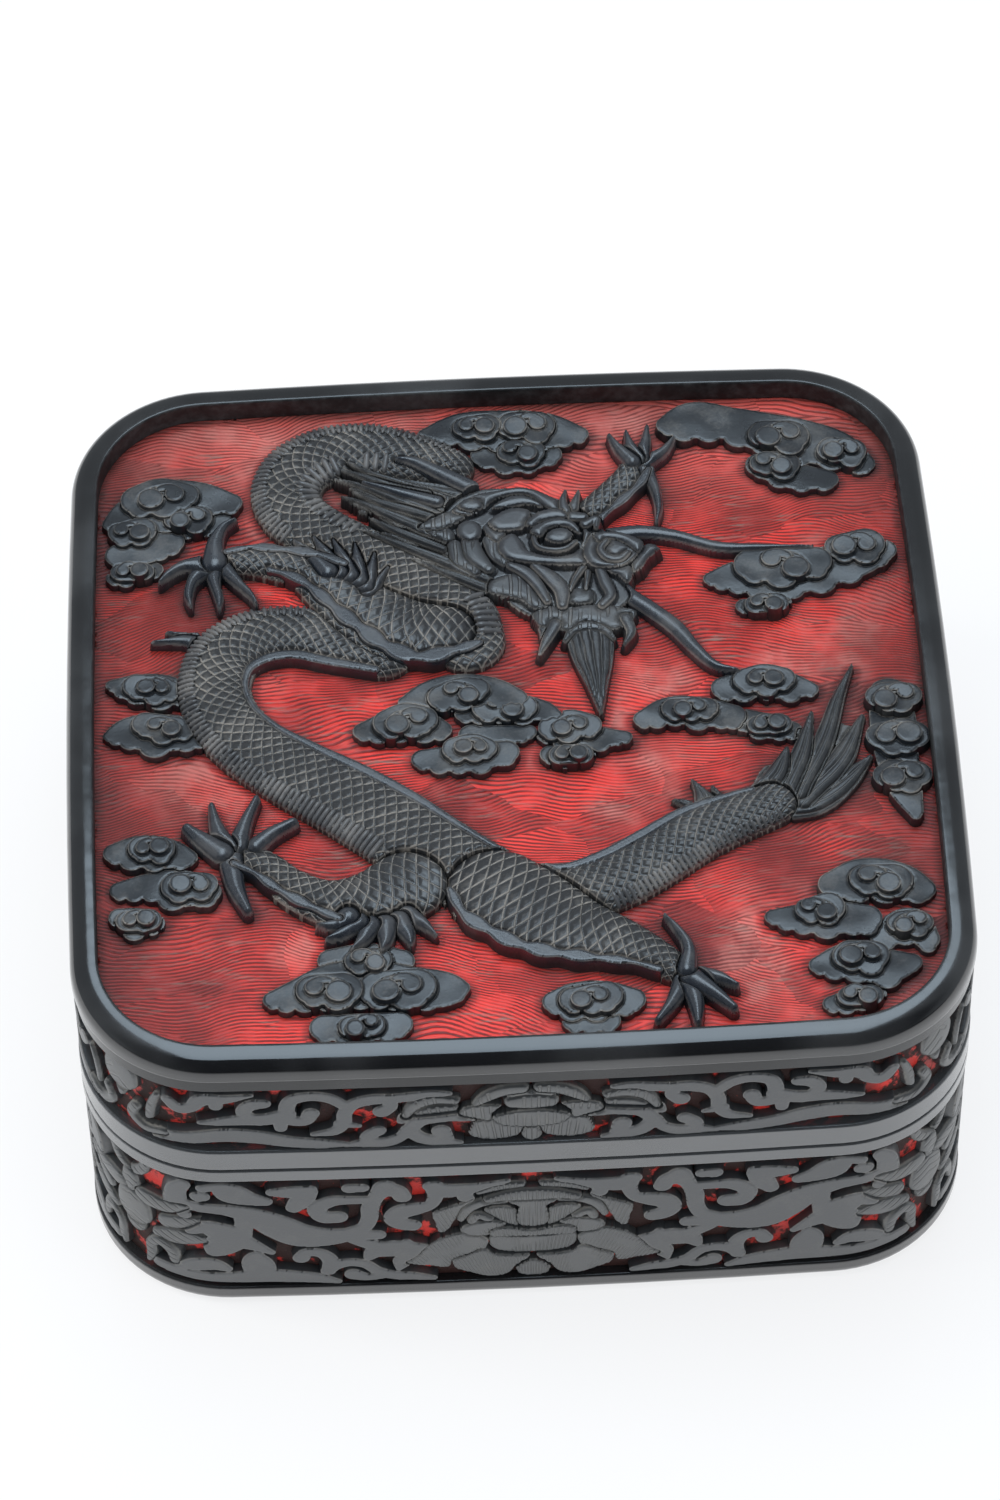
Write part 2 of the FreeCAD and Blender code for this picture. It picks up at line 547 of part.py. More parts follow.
NECK_SHARES = [
    (-0.10, 0.735, 0.050), (-0.20, 0.775, 0.070), (-0.31, 0.80, 0.080), (-0.405, 0.785, 0.083),
    (-0.47, 0.735, 0.083), (-0.49, 0.675, 0.082), (-0.475, 0.615, 0.080), (-0.42, 0.555, 0.078),
    (-0.34, 0.495, 0.078), (-0.24, 0.42, 0.080), (-0.15, 0.34, 0.085), (-0.10, 0.27, 0.090),
    (-0.09, 0.21, 0.090),
]
TRUNK_SHARES = [
    (-0.28, 0.18, 0.070), (-0.38, 0.215, 0.078), (-0.48, 0.245, 0.080), (-0.57, 0.235, 0.083),
    (-0.64, 0.185, 0.084), (-0.665, 0.10, 0.083), (-0.645, 0.01, 0.083), (-0.585, -0.075, 0.086),
    (-0.49, -0.155, 0.092), (-0.38, -0.235, 0.098), (-0.28, -0.315, 0.102), (-0.18, -0.405, 0.104),
    (-0.09, -0.475, 0.100), (0.01, -0.525, 0.090), (0.11, -0.53, 0.080), (0.21, -0.495, 0.078),
    (0.31, -0.435, 0.076), (0.40, -0.375, 0.072), (0.49, -0.335, 0.064), (0.57, -0.305, 0.055),
]
HEAD_SHARES = [
    [(-0.12, 0.60), (-0.05, 0.655), (0.03, 0.66), (0.10, 0.64), (0.17, 0.60), (0.22, 0.54),
     (0.29, 0.47), (0.31, 0.43), (0.27, 0.38), (0.29, 0.31), (0.22, 0.26), (0.10, 0.25),
     (0.02, 0.30), (-0.02, 0.38), (-0.08, 0.46), (-0.13, 0.53)],
]
HORN_SHARES = [
    [(-0.06, 0.655, 0.020), (-0.14, 0.71, 0.017), (-0.20, 0.745, 0.011), (-0.23, 0.75, 0.004)],
    [(-0.14, 0.615, 0.016), (-0.22, 0.645, 0.013), (-0.31, 0.68, 0.005)],
]
MANE_SHARES = [
    [(-0.05, 0.62, 0.040), (-0.18, 0.67, 0.030), (-0.28, 0.705, 0.016), (-0.35, 0.715, 0.004)],
    [(-0.06, 0.57, 0.040), (-0.18, 0.59, 0.030), (-0.28, 0.62, 0.016), (-0.34, 0.635, 0.004)],
    [(-0.07, 0.53, 0.035), (-0.17, 0.54, 0.025), (-0.25, 0.545, 0.014), (-0.30, 0.535, 0.004)],
    [(-0.06, 0.50, 0.030), (-0.12, 0.45, 0.022), (-0.15, 0.40, 0.012), (-0.145, 0.355, 0.004)],
]
BEARD_SHARES = [
    [(0.19, 0.235, 0.058), (0.195, 0.15, 0.048), (0.20, 0.07, 0.028), (0.205, -0.03, 0.004)],
    [(0.09, 0.26, 0.020), (0.09, 0.20, 0.012), (0.075, 0.145, 0.004)],
    [(0.26, 0.27, 0.020), (0.285, 0.23, 0.012), (0.28, 0.185, 0.004)],
]
WHISKER_SHARES = [
    [(0.24, 0.50, 0.020), (0.33, 0.508, 0.018), (0.40, 0.493, 0.016), (0.50, 0.453, 0.014),
     (0.60, 0.443, 0.010), (0.72, 0.438, 0.003)],
    [(0.25, 0.40, 0.022), (0.28, 0.33, 0.020), (0.335, 0.275, 0.020), (0.39, 0.215, 0.020),
     (0.43, 0.15, 0.016), (0.475, 0.095, 0.011), (0.52, 0.078, 0.004)],
]
LEFT_FORELEG_SHARES = [
    [(-0.14, 0.233, 0.075), (-0.22, 0.235, 0.095), (-0.31, 0.293, 0.088), (-0.38, 0.363, 0.070),
     (-0.44, 0.423, 0.052)],
    [(-0.42, 0.42, 0.052), (-0.50, 0.452, 0.048), (-0.58, 0.472, 0.042), (-0.66, 0.463, 0.034)],
    [(-0.66, 0.463, 0.030), (-0.655, 0.53, 0.018), (-0.635, 0.57, 0.011), (-0.61, 0.585, 0.005)],
    [(-0.68, 0.46, 0.028), (-0.73, 0.455, 0.016), (-0.77, 0.425, 0.010), (-0.785, 0.405, 0.004)],
    [(-0.68, 0.45, 0.026), (-0.71, 0.41, 0.014), (-0.72, 0.36, 0.010), (-0.715, 0.33, 0.004)],
    [(-0.665, 0.45, 0.024), (-0.66, 0.40, 0.013), (-0.65, 0.35, 0.010), (-0.65, 0.32, 0.004)],
    [(-0.64, 0.45, 0.020), (-0.60, 0.39, 0.012), (-0.575, 0.355, 0.008), (-0.565, 0.33, 0.004)],
    [(-0.44, 0.43, 0.030), (-0.37, 0.49, 0.014), (-0.32, 0.53, 0.004)],
]
RIGHT_FORELEG_SHARES = [
    [(0.20, 0.56, 0.038), (0.26, 0.62, 0.040), (0.31, 0.68, 0.038), (0.33, 0.72, 0.034)],
    [(0.32, 0.72, 0.020), (0.285, 0.77, 0.012), (0.27, 0.80, 0.005)],
    [(0.33, 0.73, 0.020), (0.315, 0.78, 0.012), (0.31, 0.81, 0.005)],
    [(0.34, 0.73, 0.020), (0.355, 0.79, 0.012), (0.36, 0.825, 0.005)],
    [(0.35, 0.72, 0.020), (0.395, 0.75, 0.013), (0.42, 0.785, 0.005)],
    [(0.35, 0.70, 0.020), (0.37, 0.62, 0.012), (0.372, 0.57, 0.009), (0.365, 0.53, 0.004)],
]
LEFT_HIND_LEG_SHARES = [
    [(-0.63, -0.39, 0.032), (-0.57, -0.417, 0.040), (-0.50, -0.485, 0.048), (-0.42, -0.53, 0.060),
     (-0.33, -0.53, 0.080), (-0.25, -0.49, 0.090)],
    [(-0.655, -0.385, 0.028), (-0.70, -0.345, 0.020), (-0.73, -0.315, 0.013)],
    [(-0.645, -0.37, 0.026), (-0.665, -0.31, 0.017), (-0.675, -0.255, 0.008)],
    [(-0.62, -0.365, 0.024), (-0.60, -0.30, 0.016), (-0.575, -0.24, 0.009)],
    [(-0.58, -0.37, 0.022), (-0.54, -0.335, 0.018), (-0.495, -0.31, 0.013)],
    [(-0.635, -0.40, 0.028), (-0.625, -0.48, 0.020), (-0.60, -0.55, 0.012)],
    [(-0.36, -0.58, 0.030), (-0.41, -0.605, 0.014), (-0.435, -0.60, 0.004)],
    [(-0.30, -0.58, 0.028), (-0.26, -0.64, 0.014), (-0.22, -0.655, 0.004)],
]
RIGHT_HIND_LEG_SHARES = [
    [(-0.05, -0.52, 0.115), (0.03, -0.58, 0.110), (0.12, -0.64, 0.090), (0.21, -0.675, 0.066),
     (0.28, -0.715, 0.048), (0.34, -0.76, 0.034)],
    [(0.35, -0.76, 0.022), (0.358, -0.70, 0.015), (0.335, -0.65, 0.010), (0.31, -0.615, 0.004)],
    [(0.36, -0.78, 0.026), (0.41, -0.83, 0.017), (0.445, -0.87, 0.011)],
    [(0.355, -0.79, 0.024), (0.365, -0.86, 0.016), (0.365, -0.905, 0.009)],
    [(0.34, -0.79, 0.022), (0.31, -0.85, 0.015), (0.28, -0.895, 0.009)],
    [(0.37, -0.77, 0.020), (0.42, -0.785, 0.015), (0.455, -0.81, 0.007)],
]
TAIL_FIN_SHARES = [
    [(0.54, -0.28, 0.028), (0.585, -0.225, 0.026), (0.615, -0.155, 0.006)],
    [(0.60, -0.27, 0.030), (0.645, -0.17, 0.024), (0.677, -0.055, 0.005)],
    [(0.63, -0.27, 0.030), (0.70, -0.13, 0.024), (0.745, 0.0, 0.014), (0.78, 0.08, 0.003)],
    [(0.64, -0.29, 0.034), (0.73, -0.19, 0.030), (0.79, -0.07, 0.007)],
    [(0.58, -0.31, 0.040), (0.66, -0.30, 0.040), (0.74, -0.245, 0.028), (0.80, -0.185, 0.005)],
    [(0.42, -0.31, 0.030), (0.405, -0.26, 0.013), (0.402, -0.232, 0.003)],
]


def body_loft(shares):
    """Rounded body of the dragon: bowed sections across a winding path."""
    ground = size(TOP_GROUND)
    rise = size("Sizes.body_relief")
    spots = [FreeCAD.Vector(u * half_side, v * half_side, ground) for u, v, w in shares]
    sections = []
    for place, spot in enumerate(spots):
        heading = spots[min(place + 1, len(spots) - 1)] - spots[max(place - 1, 0)]
        heading.normalize()
        across = FreeCAD.Vector(-heading.y, heading.x, 0) * (shares[place][2] * half_side)
        crown = spot + FreeCAD.Vector(0, 0, rise)
        dome = Part.Arc(spot - across, crown, spot + across).toShape()
        seat = Part.LineSegment(spot + across, spot - across).toShape()
        sections.append(Part.Wire([dome, seat]))
    return Part.makeLoft(sections, True, False)


def plate(drawings, rise):
    """Flat-topped relief of many strokes and petals, standing on the top ground."""
    flat = joined(drawings, half_side, half_side)
    flat.translate(FreeCAD.Vector(0, 0, size(TOP_GROUND)))
    return flat.extrude(FreeCAD.Vector(0, 0, rise))


class Top:
    """The carving on the lid, laid from the piece in front to the piece behind."""

    def __init__(self):
        self.laid = []

    def lay(self, label, shape):
        """Add a piece, cut clear of what lies in front of it."""
        shape = clear_of(shape, self.laid)
        self.laid.append(shape)
        add_feature(label, shape)


top = Top()
top.lay("dragon_head", plate(HEAD_SHARES, size("Sizes.head_relief")))
top.lay("dragon_horns", plate(HORN_SHARES, size("Sizes.mane_relief")))
top.lay("dragon_mane", plate(MANE_SHARES, size("Sizes.mane_relief")))
top.lay("dragon_beard", plate(BEARD_SHARES, size("Sizes.claw_relief")))
top.lay("dragon_whiskers", plate(WHISKER_SHARES, size("Sizes.claw_relief")))
top.lay("dragon_left_foreleg", plate(LEFT_FORELEG_SHARES, size("Sizes.limb_relief")))
top.lay("dragon_right_foreleg", plate(RIGHT_FORELEG_SHARES, size("Sizes.limb_relief")))
top.lay("dragon_left_hind_leg", plate(LEFT_HIND_LEG_SHARES, size("Sizes.limb_relief")))
top.lay("dragon_right_hind_leg", plate(RIGHT_HIND_LEG_SHARES, size("Sizes.limb_relief")))
top.lay("dragon_neck", body_loft(NECK_SHARES))
top.lay("dragon_trunk", body_loft(TRUNK_SHARES))
top.lay("dragon_tail_fin", plate(TAIL_FIN_SHARES, size("Sizes.claw_relief")))

# Clouds: lobed plates on each other, each with one or two raised curls.
# Every cloud holds its lower plate, its upper plate and its curls.

CLOUD_SHARES = {
    "cloud_north_west": (
        [[(-0.90, 0.60, 0.020), (-0.85, 0.62, 0.055), (-0.78, 0.65, 0.075), (-0.70, 0.66, 0.060),
          (-0.62, 0.65, 0.030)],
         [(-0.88, 0.50, 0.035), (-0.82, 0.52, 0.050), (-0.76, 0.54, 0.035)]],
        [[(-0.83, 0.64, 0.040), (-0.76, 0.65, 0.050), (-0.69, 0.655, 0.035)]],
        [[(-0.79, 0.64, 0.022), (-0.75, 0.64, 0.022)]],
    ),
    "cloud_north": (
        [[(-0.16, 0.84, 0.020), (-0.08, 0.85, 0.050), (0.02, 0.84, 0.065), (0.12, 0.83, 0.060),
          (0.20, 0.82, 0.025)],
         [(-0.02, 0.77, 0.040), (0.07, 0.75, 0.045), (0.13, 0.76, 0.030)]],
        [[(-0.04, 0.85, 0.035), (0.05, 0.85, 0.045), (0.12, 0.84, 0.030)]],
        [[(0.02, 0.85, 0.022), (0.06, 0.85, 0.022)]],
    ),
    "cloud_north_east": (
        [[(0.41, 0.83, 0.030), (0.47, 0.84, 0.060), (0.55, 0.83, 0.055), (0.63, 0.80, 0.065),
          (0.72, 0.77, 0.070), (0.80, 0.74, 0.060), (0.86, 0.70, 0.030)],
         [(0.62, 0.70, 0.040), (0.70, 0.66, 0.045), (0.77, 0.65, 0.030)]],
        [[(0.64, 0.78, 0.035), (0.71, 0.76, 0.045), (0.78, 0.735, 0.030)]],
        [[(0.69, 0.765, 0.022), (0.73, 0.755, 0.022)]],
    ),
    "cloud_east": (
        [[(0.48, 0.36, 0.020), (0.55, 0.36, 0.050), (0.64, 0.35, 0.060), (0.73, 0.37, 0.060),
          (0.82, 0.40, 0.060), (0.885, 0.42, 0.030)],
         [(0.55, 0.275, 0.022), (0.60, 0.27, 0.026), (0.64, 0.28, 0.020)]],
        [[(0.58, 0.385, 0.035), (0.66, 0.385, 0.042), (0.72, 0.39, 0.030)],
         [(0.79, 0.43, 0.030), (0.84, 0.435, 0.035)]],
        [[(0.63, 0.39, 0.020), (0.67, 0.39, 0.020)]],
    ),
    "cloud_west": (
        [[(-0.895, 0.115, 0.018), (-0.84, 0.10, 0.045), (-0.78, 0.09, 0.050), (-0.74, 0.08, 0.036)],
         [(-0.905, -0.03, 0.014), (-0.86, -0.025, 0.045), (-0.79, -0.035, 0.060),
          (-0.73, -0.04, 0.048), (-0.70, -0.05, 0.028)]],
        [[(-0.84, 0.10, 0.024), (-0.80, 0.09, 0.027), (-0.765, 0.085, 0.020)],
         [(-0.82, -0.01, 0.024), (-0.78, -0.025, 0.028), (-0.735, -0.03, 0.020)]],
        [[(-0.82, 0.105, 0.014), (-0.80, 0.10, 0.014)],
         [(-0.79, -0.005, 0.015), (-0.77, -0.01, 0.015)]],
    ),
    "cloud_west_low": (
        [[(-0.89, -0.37, 0.030), (-0.83, -0.37, 0.050), (-0.77, -0.38, 0.044), (-0.73, -0.39, 0.024)],
         [(-0.88, -0.47, 0.026), (-0.81, -0.465, 0.040), (-0.74, -0.48, 0.055), (-0.69, -0.49, 0.036)],
         [(-0.88, -0.55, 0.028), (-0.84, -0.565, 0.042), (-0.81, -0.565, 0.030)]],
        [[(-0.83, -0.365, 0.024), (-0.79, -0.37, 0.024)],
         [(-0.75, -0.475, 0.030), (-0.70, -0.475, 0.026)]],
        [[(-0.765, -0.475, 0.018), (-0.745, -0.47, 0.018)]],
    ),
    "cloud_middle_back": (
        [[(-0.235, 0.025, 0.018), (-0.17, 0.045, 0.045), (-0.10, 0.055, 0.052),
          (-0.03, 0.045, 0.045), (0.015, 0.03, 0.030)],
         [(-0.33, -0.05, 0.028), (-0.27, -0.04, 0.046), (-0.20, -0.04, 0.046),
          (-0.16, -0.055, 0.030)]],
        [[(-0.27, -0.04, 0.030), (-0.235, -0.03, 0.034), (-0.20, -0.03, 0.028)],
         [(-0.15, 0.03, 0.026), (-0.10, 0.045, 0.030), (-0.07, 0.055, 0.020)]],
        [[(-0.265, -0.04, 0.016), (-0.25, -0.035, 0.016)]],
    ),
    "cloud_middle": (
        [[(-0.10, -0.01, 0.028), (-0.04, 0.0, 0.042), (0.03, -0.005, 0.042), (0.08, -0.015, 0.028),
          (0.105, -0.025, 0.013)],
         [(-0.20, -0.135, 0.030), (-0.14, -0.14, 0.040), (-0.07, -0.14, 0.042),
          (-0.015, -0.13, 0.034)],
         [(-0.09, -0.075, 0.032), (-0.02, -0.08, 0.032), (0.04, -0.07, 0.020)]],
        [[(-0.05, -0.005, 0.027), (-0.01, 0.005, 0.030), (0.03, -0.005, 0.024)],
         [(-0.125, -0.12, 0.024), (-0.09, -0.115, 0.026), (-0.06, -0.12, 0.020)]],
        [[(-0.03, 0.0, 0.018), (0.0, 0.005, 0.018)]],
    ),
    "cloud_middle_right": (
        [[(0.08, -0.08, 0.026), (0.14, -0.085, 0.040), (0.20, -0.10, 0.034), (0.255, -0.10, 0.018)],
         [(0.085, -0.14, 0.026), (0.13, -0.15, 0.028), (0.17, -0.145, 0.018)]],
        [[(0.09, -0.07, 0.022), (0.13, -0.065, 0.030), (0.175, -0.07, 0.022)]],
        [[(0.10, -0.065, 0.017), (0.12, -0.06, 0.017)]],
    ),
    "cloud_east_middle": (
        [[(0.30, -0.05, 0.026), (0.36, -0.03, 0.042), (0.44, -0.04, 0.045), (0.50, -0.05, 0.034)],
         [(0.49, 0.03, 0.036), (0.56, 0.04, 0.046), (0.63, 0.03, 0.042), (0.68, 0.02, 0.022)],
         [(0.52, -0.06, 0.034), (0.58, -0.085, 0.040), (0.63, -0.095, 0.026)]],
        [[(0.54, 0.045, 0.024), (0.58, 0.045, 0.030), (0.62, 0.045, 0.022)],
         [(0.37, -0.03, 0.022), (0.44, -0.03, 0.022)]],
        [[(0.54, 0.04, 0.016), (0.57, 0.04, 0.016)],
         [(0.60, -0.045, 0.018), (0.63, -0.04, 0.018)]],
    ),
    "cloud_east_edge": (
        [[(0.86, 0.0, 0.050), (0.86, -0.10, 0.058), (0.86, -0.20, 0.052), (0.87, -0.29, 0.040),
          (0.885, -0.35, 0.020)]],
        [[(0.85, -0.02, 0.030), (0.88, -0.02, 0.030)],
         [(0.85, -0.14, 0.034), (0.88, -0.13, 0.034)],
         [(0.85, -0.245, 0.032), (0.88, -0.25, 0.030)]],
        [[(0.84, -0.02, 0.018), (0.86, -0.02, 0.018)],
         [(0.845, -0.145, 0.018), (0.865, -0.14, 0.018)],
         [(0.84, -0.25, 0.018), (0.86, -0.25, 0.018)]],
    ),
    "cloud_south_east": (
        [[(0.55, -0.62, 0.022), (0.61, -0.63, 0.042), (0.68, -0.635, 0.050), (0.75, -0.64, 0.040)],
         [(0.69, -0.545, 0.040), (0.76, -0.53, 0.060), (0.84, -0.545, 0.055), (0.885, -0.56, 0.030)],
         [(0.79, -0.68, 0.040), (0.85, -0.66, 0.045), (0.88, -0.70, 0.030)],
         [(0.64, -0.755, 0.026), (0.71, -0.75, 0.055), (0.79, -0.77, 0.050), (0.84, -0.76, 0.026)],
         [(0.66, -0.86, 0.024), (0.72, -0.85, 0.034), (0.76, -0.84, 0.020)]],
        [[(0.65, -0.615, 0.026), (0.69, -0.61, 0.032), (0.73, -0.62, 0.022)],
         [(0.76, -0.535, 0.028), (0.82, -0.54, 0.032)],
         [(0.71, -0.74, 0.028), (0.75, -0.745, 0.030)]],
        [[(0.64, -0.61, 0.018), (0.66, -0.605, 0.018)],
         [(0.76, -0.53, 0.020), (0.78, -0.525, 0.020)]],
    ),
    "cloud_south": (
        [[(0.06, -0.83, 0.030), (0.11, -0.83, 0.050), (0.17, -0.83, 0.050), (0.23, -0.83, 0.030)],
         [(0.10, -0.88, 0.030), (0.17, -0.885, 0.032)]],
        [[(0.10, -0.83, 0.024), (0.17, -0.825, 0.028)]],
        [[(0.10, -0.83, 0.016), (0.11, -0.83, 0.016)],
         [(0.165, -0.825, 0.019), (0.175, -0.825, 0.019)]],
    ),
    "cloud_south_west": (
        [[(-0.55, -0.79, 0.024), (-0.49, -0.78, 0.045), (-0.42, -0.76, 0.060), (-0.34, -0.76, 0.065),
          (-0.26, -0.77, 0.055), (-0.17, -0.785, 0.045), (-0.14, -0.78, 0.020)],
         [(-0.42, -0.69, 0.034), (-0.34, -0.69, 0.045), (-0.27, -0.70, 0.034)],
         [(-0.44, -0.87, 0.036), (-0.36, -0.875, 0.040), (-0.28, -0.87, 0.034)]],
        [[(-0.46, -0.775, 0.030), (-0.40, -0.78, 0.034)],
         [(-0.32, -0.78, 0.034), (-0.24, -0.78, 0.034)],
         [(-0.36, -0.70, 0.024), (-0.32, -0.70, 0.024)]],
        [[(-0.47, -0.775, 0.018), (-0.45, -0.775, 0.018)],
         [(-0.38, -0.70, 0.014), (-0.37, -0.70, 0.014)]],
    ),
}


def cloud(tiers):
    """Lobed plates of three heights, kept inside the frame."""
    heights = [size("Sizes.cloud_low"), size("Sizes.cloud_high"), size("Sizes.cloud_disc")]
    plates = [plate(drawings, rise) for drawings, rise in zip(tiers, heights)]
    shape = plates[0].multiFuse(plates[1:]).removeSplitter()
    ground = size(TOP_GROUND)
    inside = outline_solid(size("Sizes.frame_width"), ground, ground + 2 * size("Sizes.frame_rise"))
    return shape.common(inside)


for label, tiers in CLOUD_SHARES.items():
    top.lay(label, cloud(tiers))

# Every node is checked before any is written

doc.recompute()
nodes = [item for item in doc.Objects if item.TypeId in ("PartDesign::Body", "Part::Feature")]
for item in doc.Objects:
    if "Invalid" in item.State or "Error" in item.State:
        raise RuntimeError("%s did not recompute: %s" % (item.Name, item.State))
for item in nodes:
    shape = item.Shape
    if shape.isNull() or not shape.isValid() or not shape.Solids:
        raise RuntimeError("%s has no valid solid" % item.Label)
for item in nodes:
    item.Shape.exportStep("parts/%s.step" % item.Label)
    print("%-26s solids %2d volume %.1f" % (item.Label, len(item.Shape.Solids), item.Shape.Volume))
print(len(nodes), "nodes")
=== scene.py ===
import bpy
import math
import numpy as np
from mathutils import Matrix, Vector


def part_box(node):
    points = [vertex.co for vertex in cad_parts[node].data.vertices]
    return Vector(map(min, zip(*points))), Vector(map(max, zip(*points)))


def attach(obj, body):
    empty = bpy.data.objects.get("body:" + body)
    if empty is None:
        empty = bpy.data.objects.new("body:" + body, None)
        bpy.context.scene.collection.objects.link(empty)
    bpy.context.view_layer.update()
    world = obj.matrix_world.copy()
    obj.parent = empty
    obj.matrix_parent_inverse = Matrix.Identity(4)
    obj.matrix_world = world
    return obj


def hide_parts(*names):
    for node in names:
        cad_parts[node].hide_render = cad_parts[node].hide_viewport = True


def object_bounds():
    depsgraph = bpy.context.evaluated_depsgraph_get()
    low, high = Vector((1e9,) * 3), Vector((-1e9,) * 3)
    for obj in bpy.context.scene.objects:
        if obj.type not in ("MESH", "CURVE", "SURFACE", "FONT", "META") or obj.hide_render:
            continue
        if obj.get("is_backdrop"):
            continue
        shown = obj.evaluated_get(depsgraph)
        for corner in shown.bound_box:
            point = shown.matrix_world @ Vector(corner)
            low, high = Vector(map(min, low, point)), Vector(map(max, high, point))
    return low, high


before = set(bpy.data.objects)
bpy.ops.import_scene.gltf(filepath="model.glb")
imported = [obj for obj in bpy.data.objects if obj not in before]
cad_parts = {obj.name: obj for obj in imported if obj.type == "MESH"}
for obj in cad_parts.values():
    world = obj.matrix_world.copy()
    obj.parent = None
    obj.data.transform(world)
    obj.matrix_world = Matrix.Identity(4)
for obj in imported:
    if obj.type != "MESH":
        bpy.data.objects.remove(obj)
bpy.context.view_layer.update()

from types import SimpleNamespace


# Studio: a pale table and backdrop, broad soft lamps and the camera that took the picture.
# The box stands on the table at the origin, its front towards the camera.

MM = 0.001
CAMERA_AZIMUTH = math.radians(-1.78)
CAMERA_ELEVATION = math.radians(51.03)
CAMERA_ROLL = math.radians(-1.02)
CAMERA_DISTANCE = 1.32816
CAMERA_TARGET = Vector((-0.00156, 0.02608, 0.04))
FOCAL_PIXELS = 5654.8
PICTURE_HEIGHT = 1500
TABLE_GLOW = 0.78
MIRROR_FADE = (0.23, 0.36)
DARK_SIDE = (0.0, -0.80, 0.60)

back = Vector((math.sin(CAMERA_AZIMUTH) * math.cos(CAMERA_ELEVATION),
               -math.cos(CAMERA_AZIMUTH) * math.cos(CAMERA_ELEVATION),
               math.sin(CAMERA_ELEVATION)))
level = Vector((0, 0, 1)).cross(back).normalized()
upward = back.cross(level)
across = level * math.cos(CAMERA_ROLL) + upward * math.sin(CAMERA_ROLL)
above = upward * math.cos(CAMERA_ROLL) - level * math.sin(CAMERA_ROLL)
lens = bpy.data.cameras.new("camera")
lens.sensor_width = 36
lens.lens = FOCAL_PIXELS * lens.sensor_width / PICTURE_HEIGHT
lens.clip_start = 0.05
lens.clip_end = 30
camera = bpy.data.objects.new("camera", lens)
camera.matrix_world = Matrix.Translation(CAMERA_TARGET + back * CAMERA_DISTANCE) @ Matrix(
    (across, above, back)).transposed().to_4x4()
bpy.context.scene.collection.objects.link(camera)
bpy.context.scene.camera = camera
bpy.context.scene.view_settings.view_transform = "Standard"


class Finish:
    """A socket of a material's tree. Sums and products of finishes add Math nodes."""

    def __init__(self, tree, socket=None):
        self.tree = tree
        self.socket = socket

    def node(self, kind, settings=None, values=None, out=0):
        """Any node: its settings first, then the values or links of its sockets."""
        node = self.tree.nodes.new(kind)
        for name, setting in (settings or {}).items():
            setattr(node, name, setting)
        for name, value in (values or {}).items():
            if isinstance(value, Finish):
                self.tree.links.new(value.socket, node.inputs[name])
            else:
                node.inputs[name].default_value = value
        return Finish(self.tree, node.outputs[out])

    def maths(self, operation, *others):
        """A Math node on this and other values."""
        return self.node("ShaderNodeMath", {"operation": operation}, dict(enumerate((self, *others))))

    def __add__(self, other):
        return self.maths("ADD", other)

    def __mul__(self, other):
        return self.maths("MULTIPLY", other)

    def __sub__(self, other):
        return self.maths("SUBTRACT", other)

    def __truediv__(self, other):
        return self.maths("DIVIDE", other)

    def __rsub__(self, other):
        return self.node("ShaderNodeMath", {"operation": "SUBTRACT"}, {0: other, 1: self})

    __radd__ = __add__
    __rmul__ = __mul__

    def ramp(self, low, high):
        """0 up to low, 1 from high on, and a smooth rise between them."""
        return self.node("ShaderNodeMapRange", {"interpolation_type": "SMOOTHSTEP"},
                         {"Value": self, "From Min": low, "From Max": high})

    def tint(self, dark, light):
        """Colour between two, by this share."""
        values = {"Factor": self, "A": dark, "B": light}
        mix = self.tree.nodes.new("ShaderNodeMix")
        mix.data_type = "RGBA"
        for socket in mix.inputs:
            if socket.enabled and socket.name in values:
                value = values[socket.name]
                if isinstance(value, Finish):
                    self.tree.links.new(value.socket, socket)
                else:
                    socket.default_value = (*value, 1.0)
        return Finish(self.tree, [out for out in mix.outputs if out.enabled][0])

    def noise(self, where, scale, detail, rough=0.5):
        """Cloudy share about a half, on coordinates in millimetres."""
        return self.node("ShaderNodeTexNoise", None,
                         {"Vector": where, "Scale": scale, "Detail": detail, "Roughness": rough})

    def bump(self, depth, strength=1.0):
        """Normal of a surface that this height lifts, by a depth in metres."""
        return self.node("ShaderNodeBump", None, {"Height": self, "Distance": depth, "Strength": strength})

    def parts(self):
        """The three numbers of a vector."""
        split = self.tree.nodes.new("ShaderNodeSeparateXYZ")
        self.tree.links.new(self.socket, split.inputs["Vector"])
        return [Finish(self.tree, split.outputs[axis]) for axis in "XYZ"]


OBJECT_OUTPUT = "Object"


def new_finish(name, **constants):
    """Material with one Principled shader, and the start of its tree."""
    material = bpy.data.materials.new(name)
    material.use_nodes = True
    shader = material.node_tree.nodes["Principled BSDF"]
    for socket, value in constants.items():
        shader.inputs[socket.replace("_", " ").title().replace("Ior", "IOR")].default_value = value
    return material, Finish(material.node_tree), shader


def feed(shader, **links):
    """Link finishes to the shader's sockets."""
    for socket, value in links.items():
        tree = value.tree
        tree.links.new(value.socket, shader.inputs[socket.replace("_", " ").title()])


def rays(start, kind):
    """Share of rays of one kind: Camera, Glossy or Transmission."""
    return start.node("ShaderNodeLightPath", None, None, "Is %s Ray" % kind)


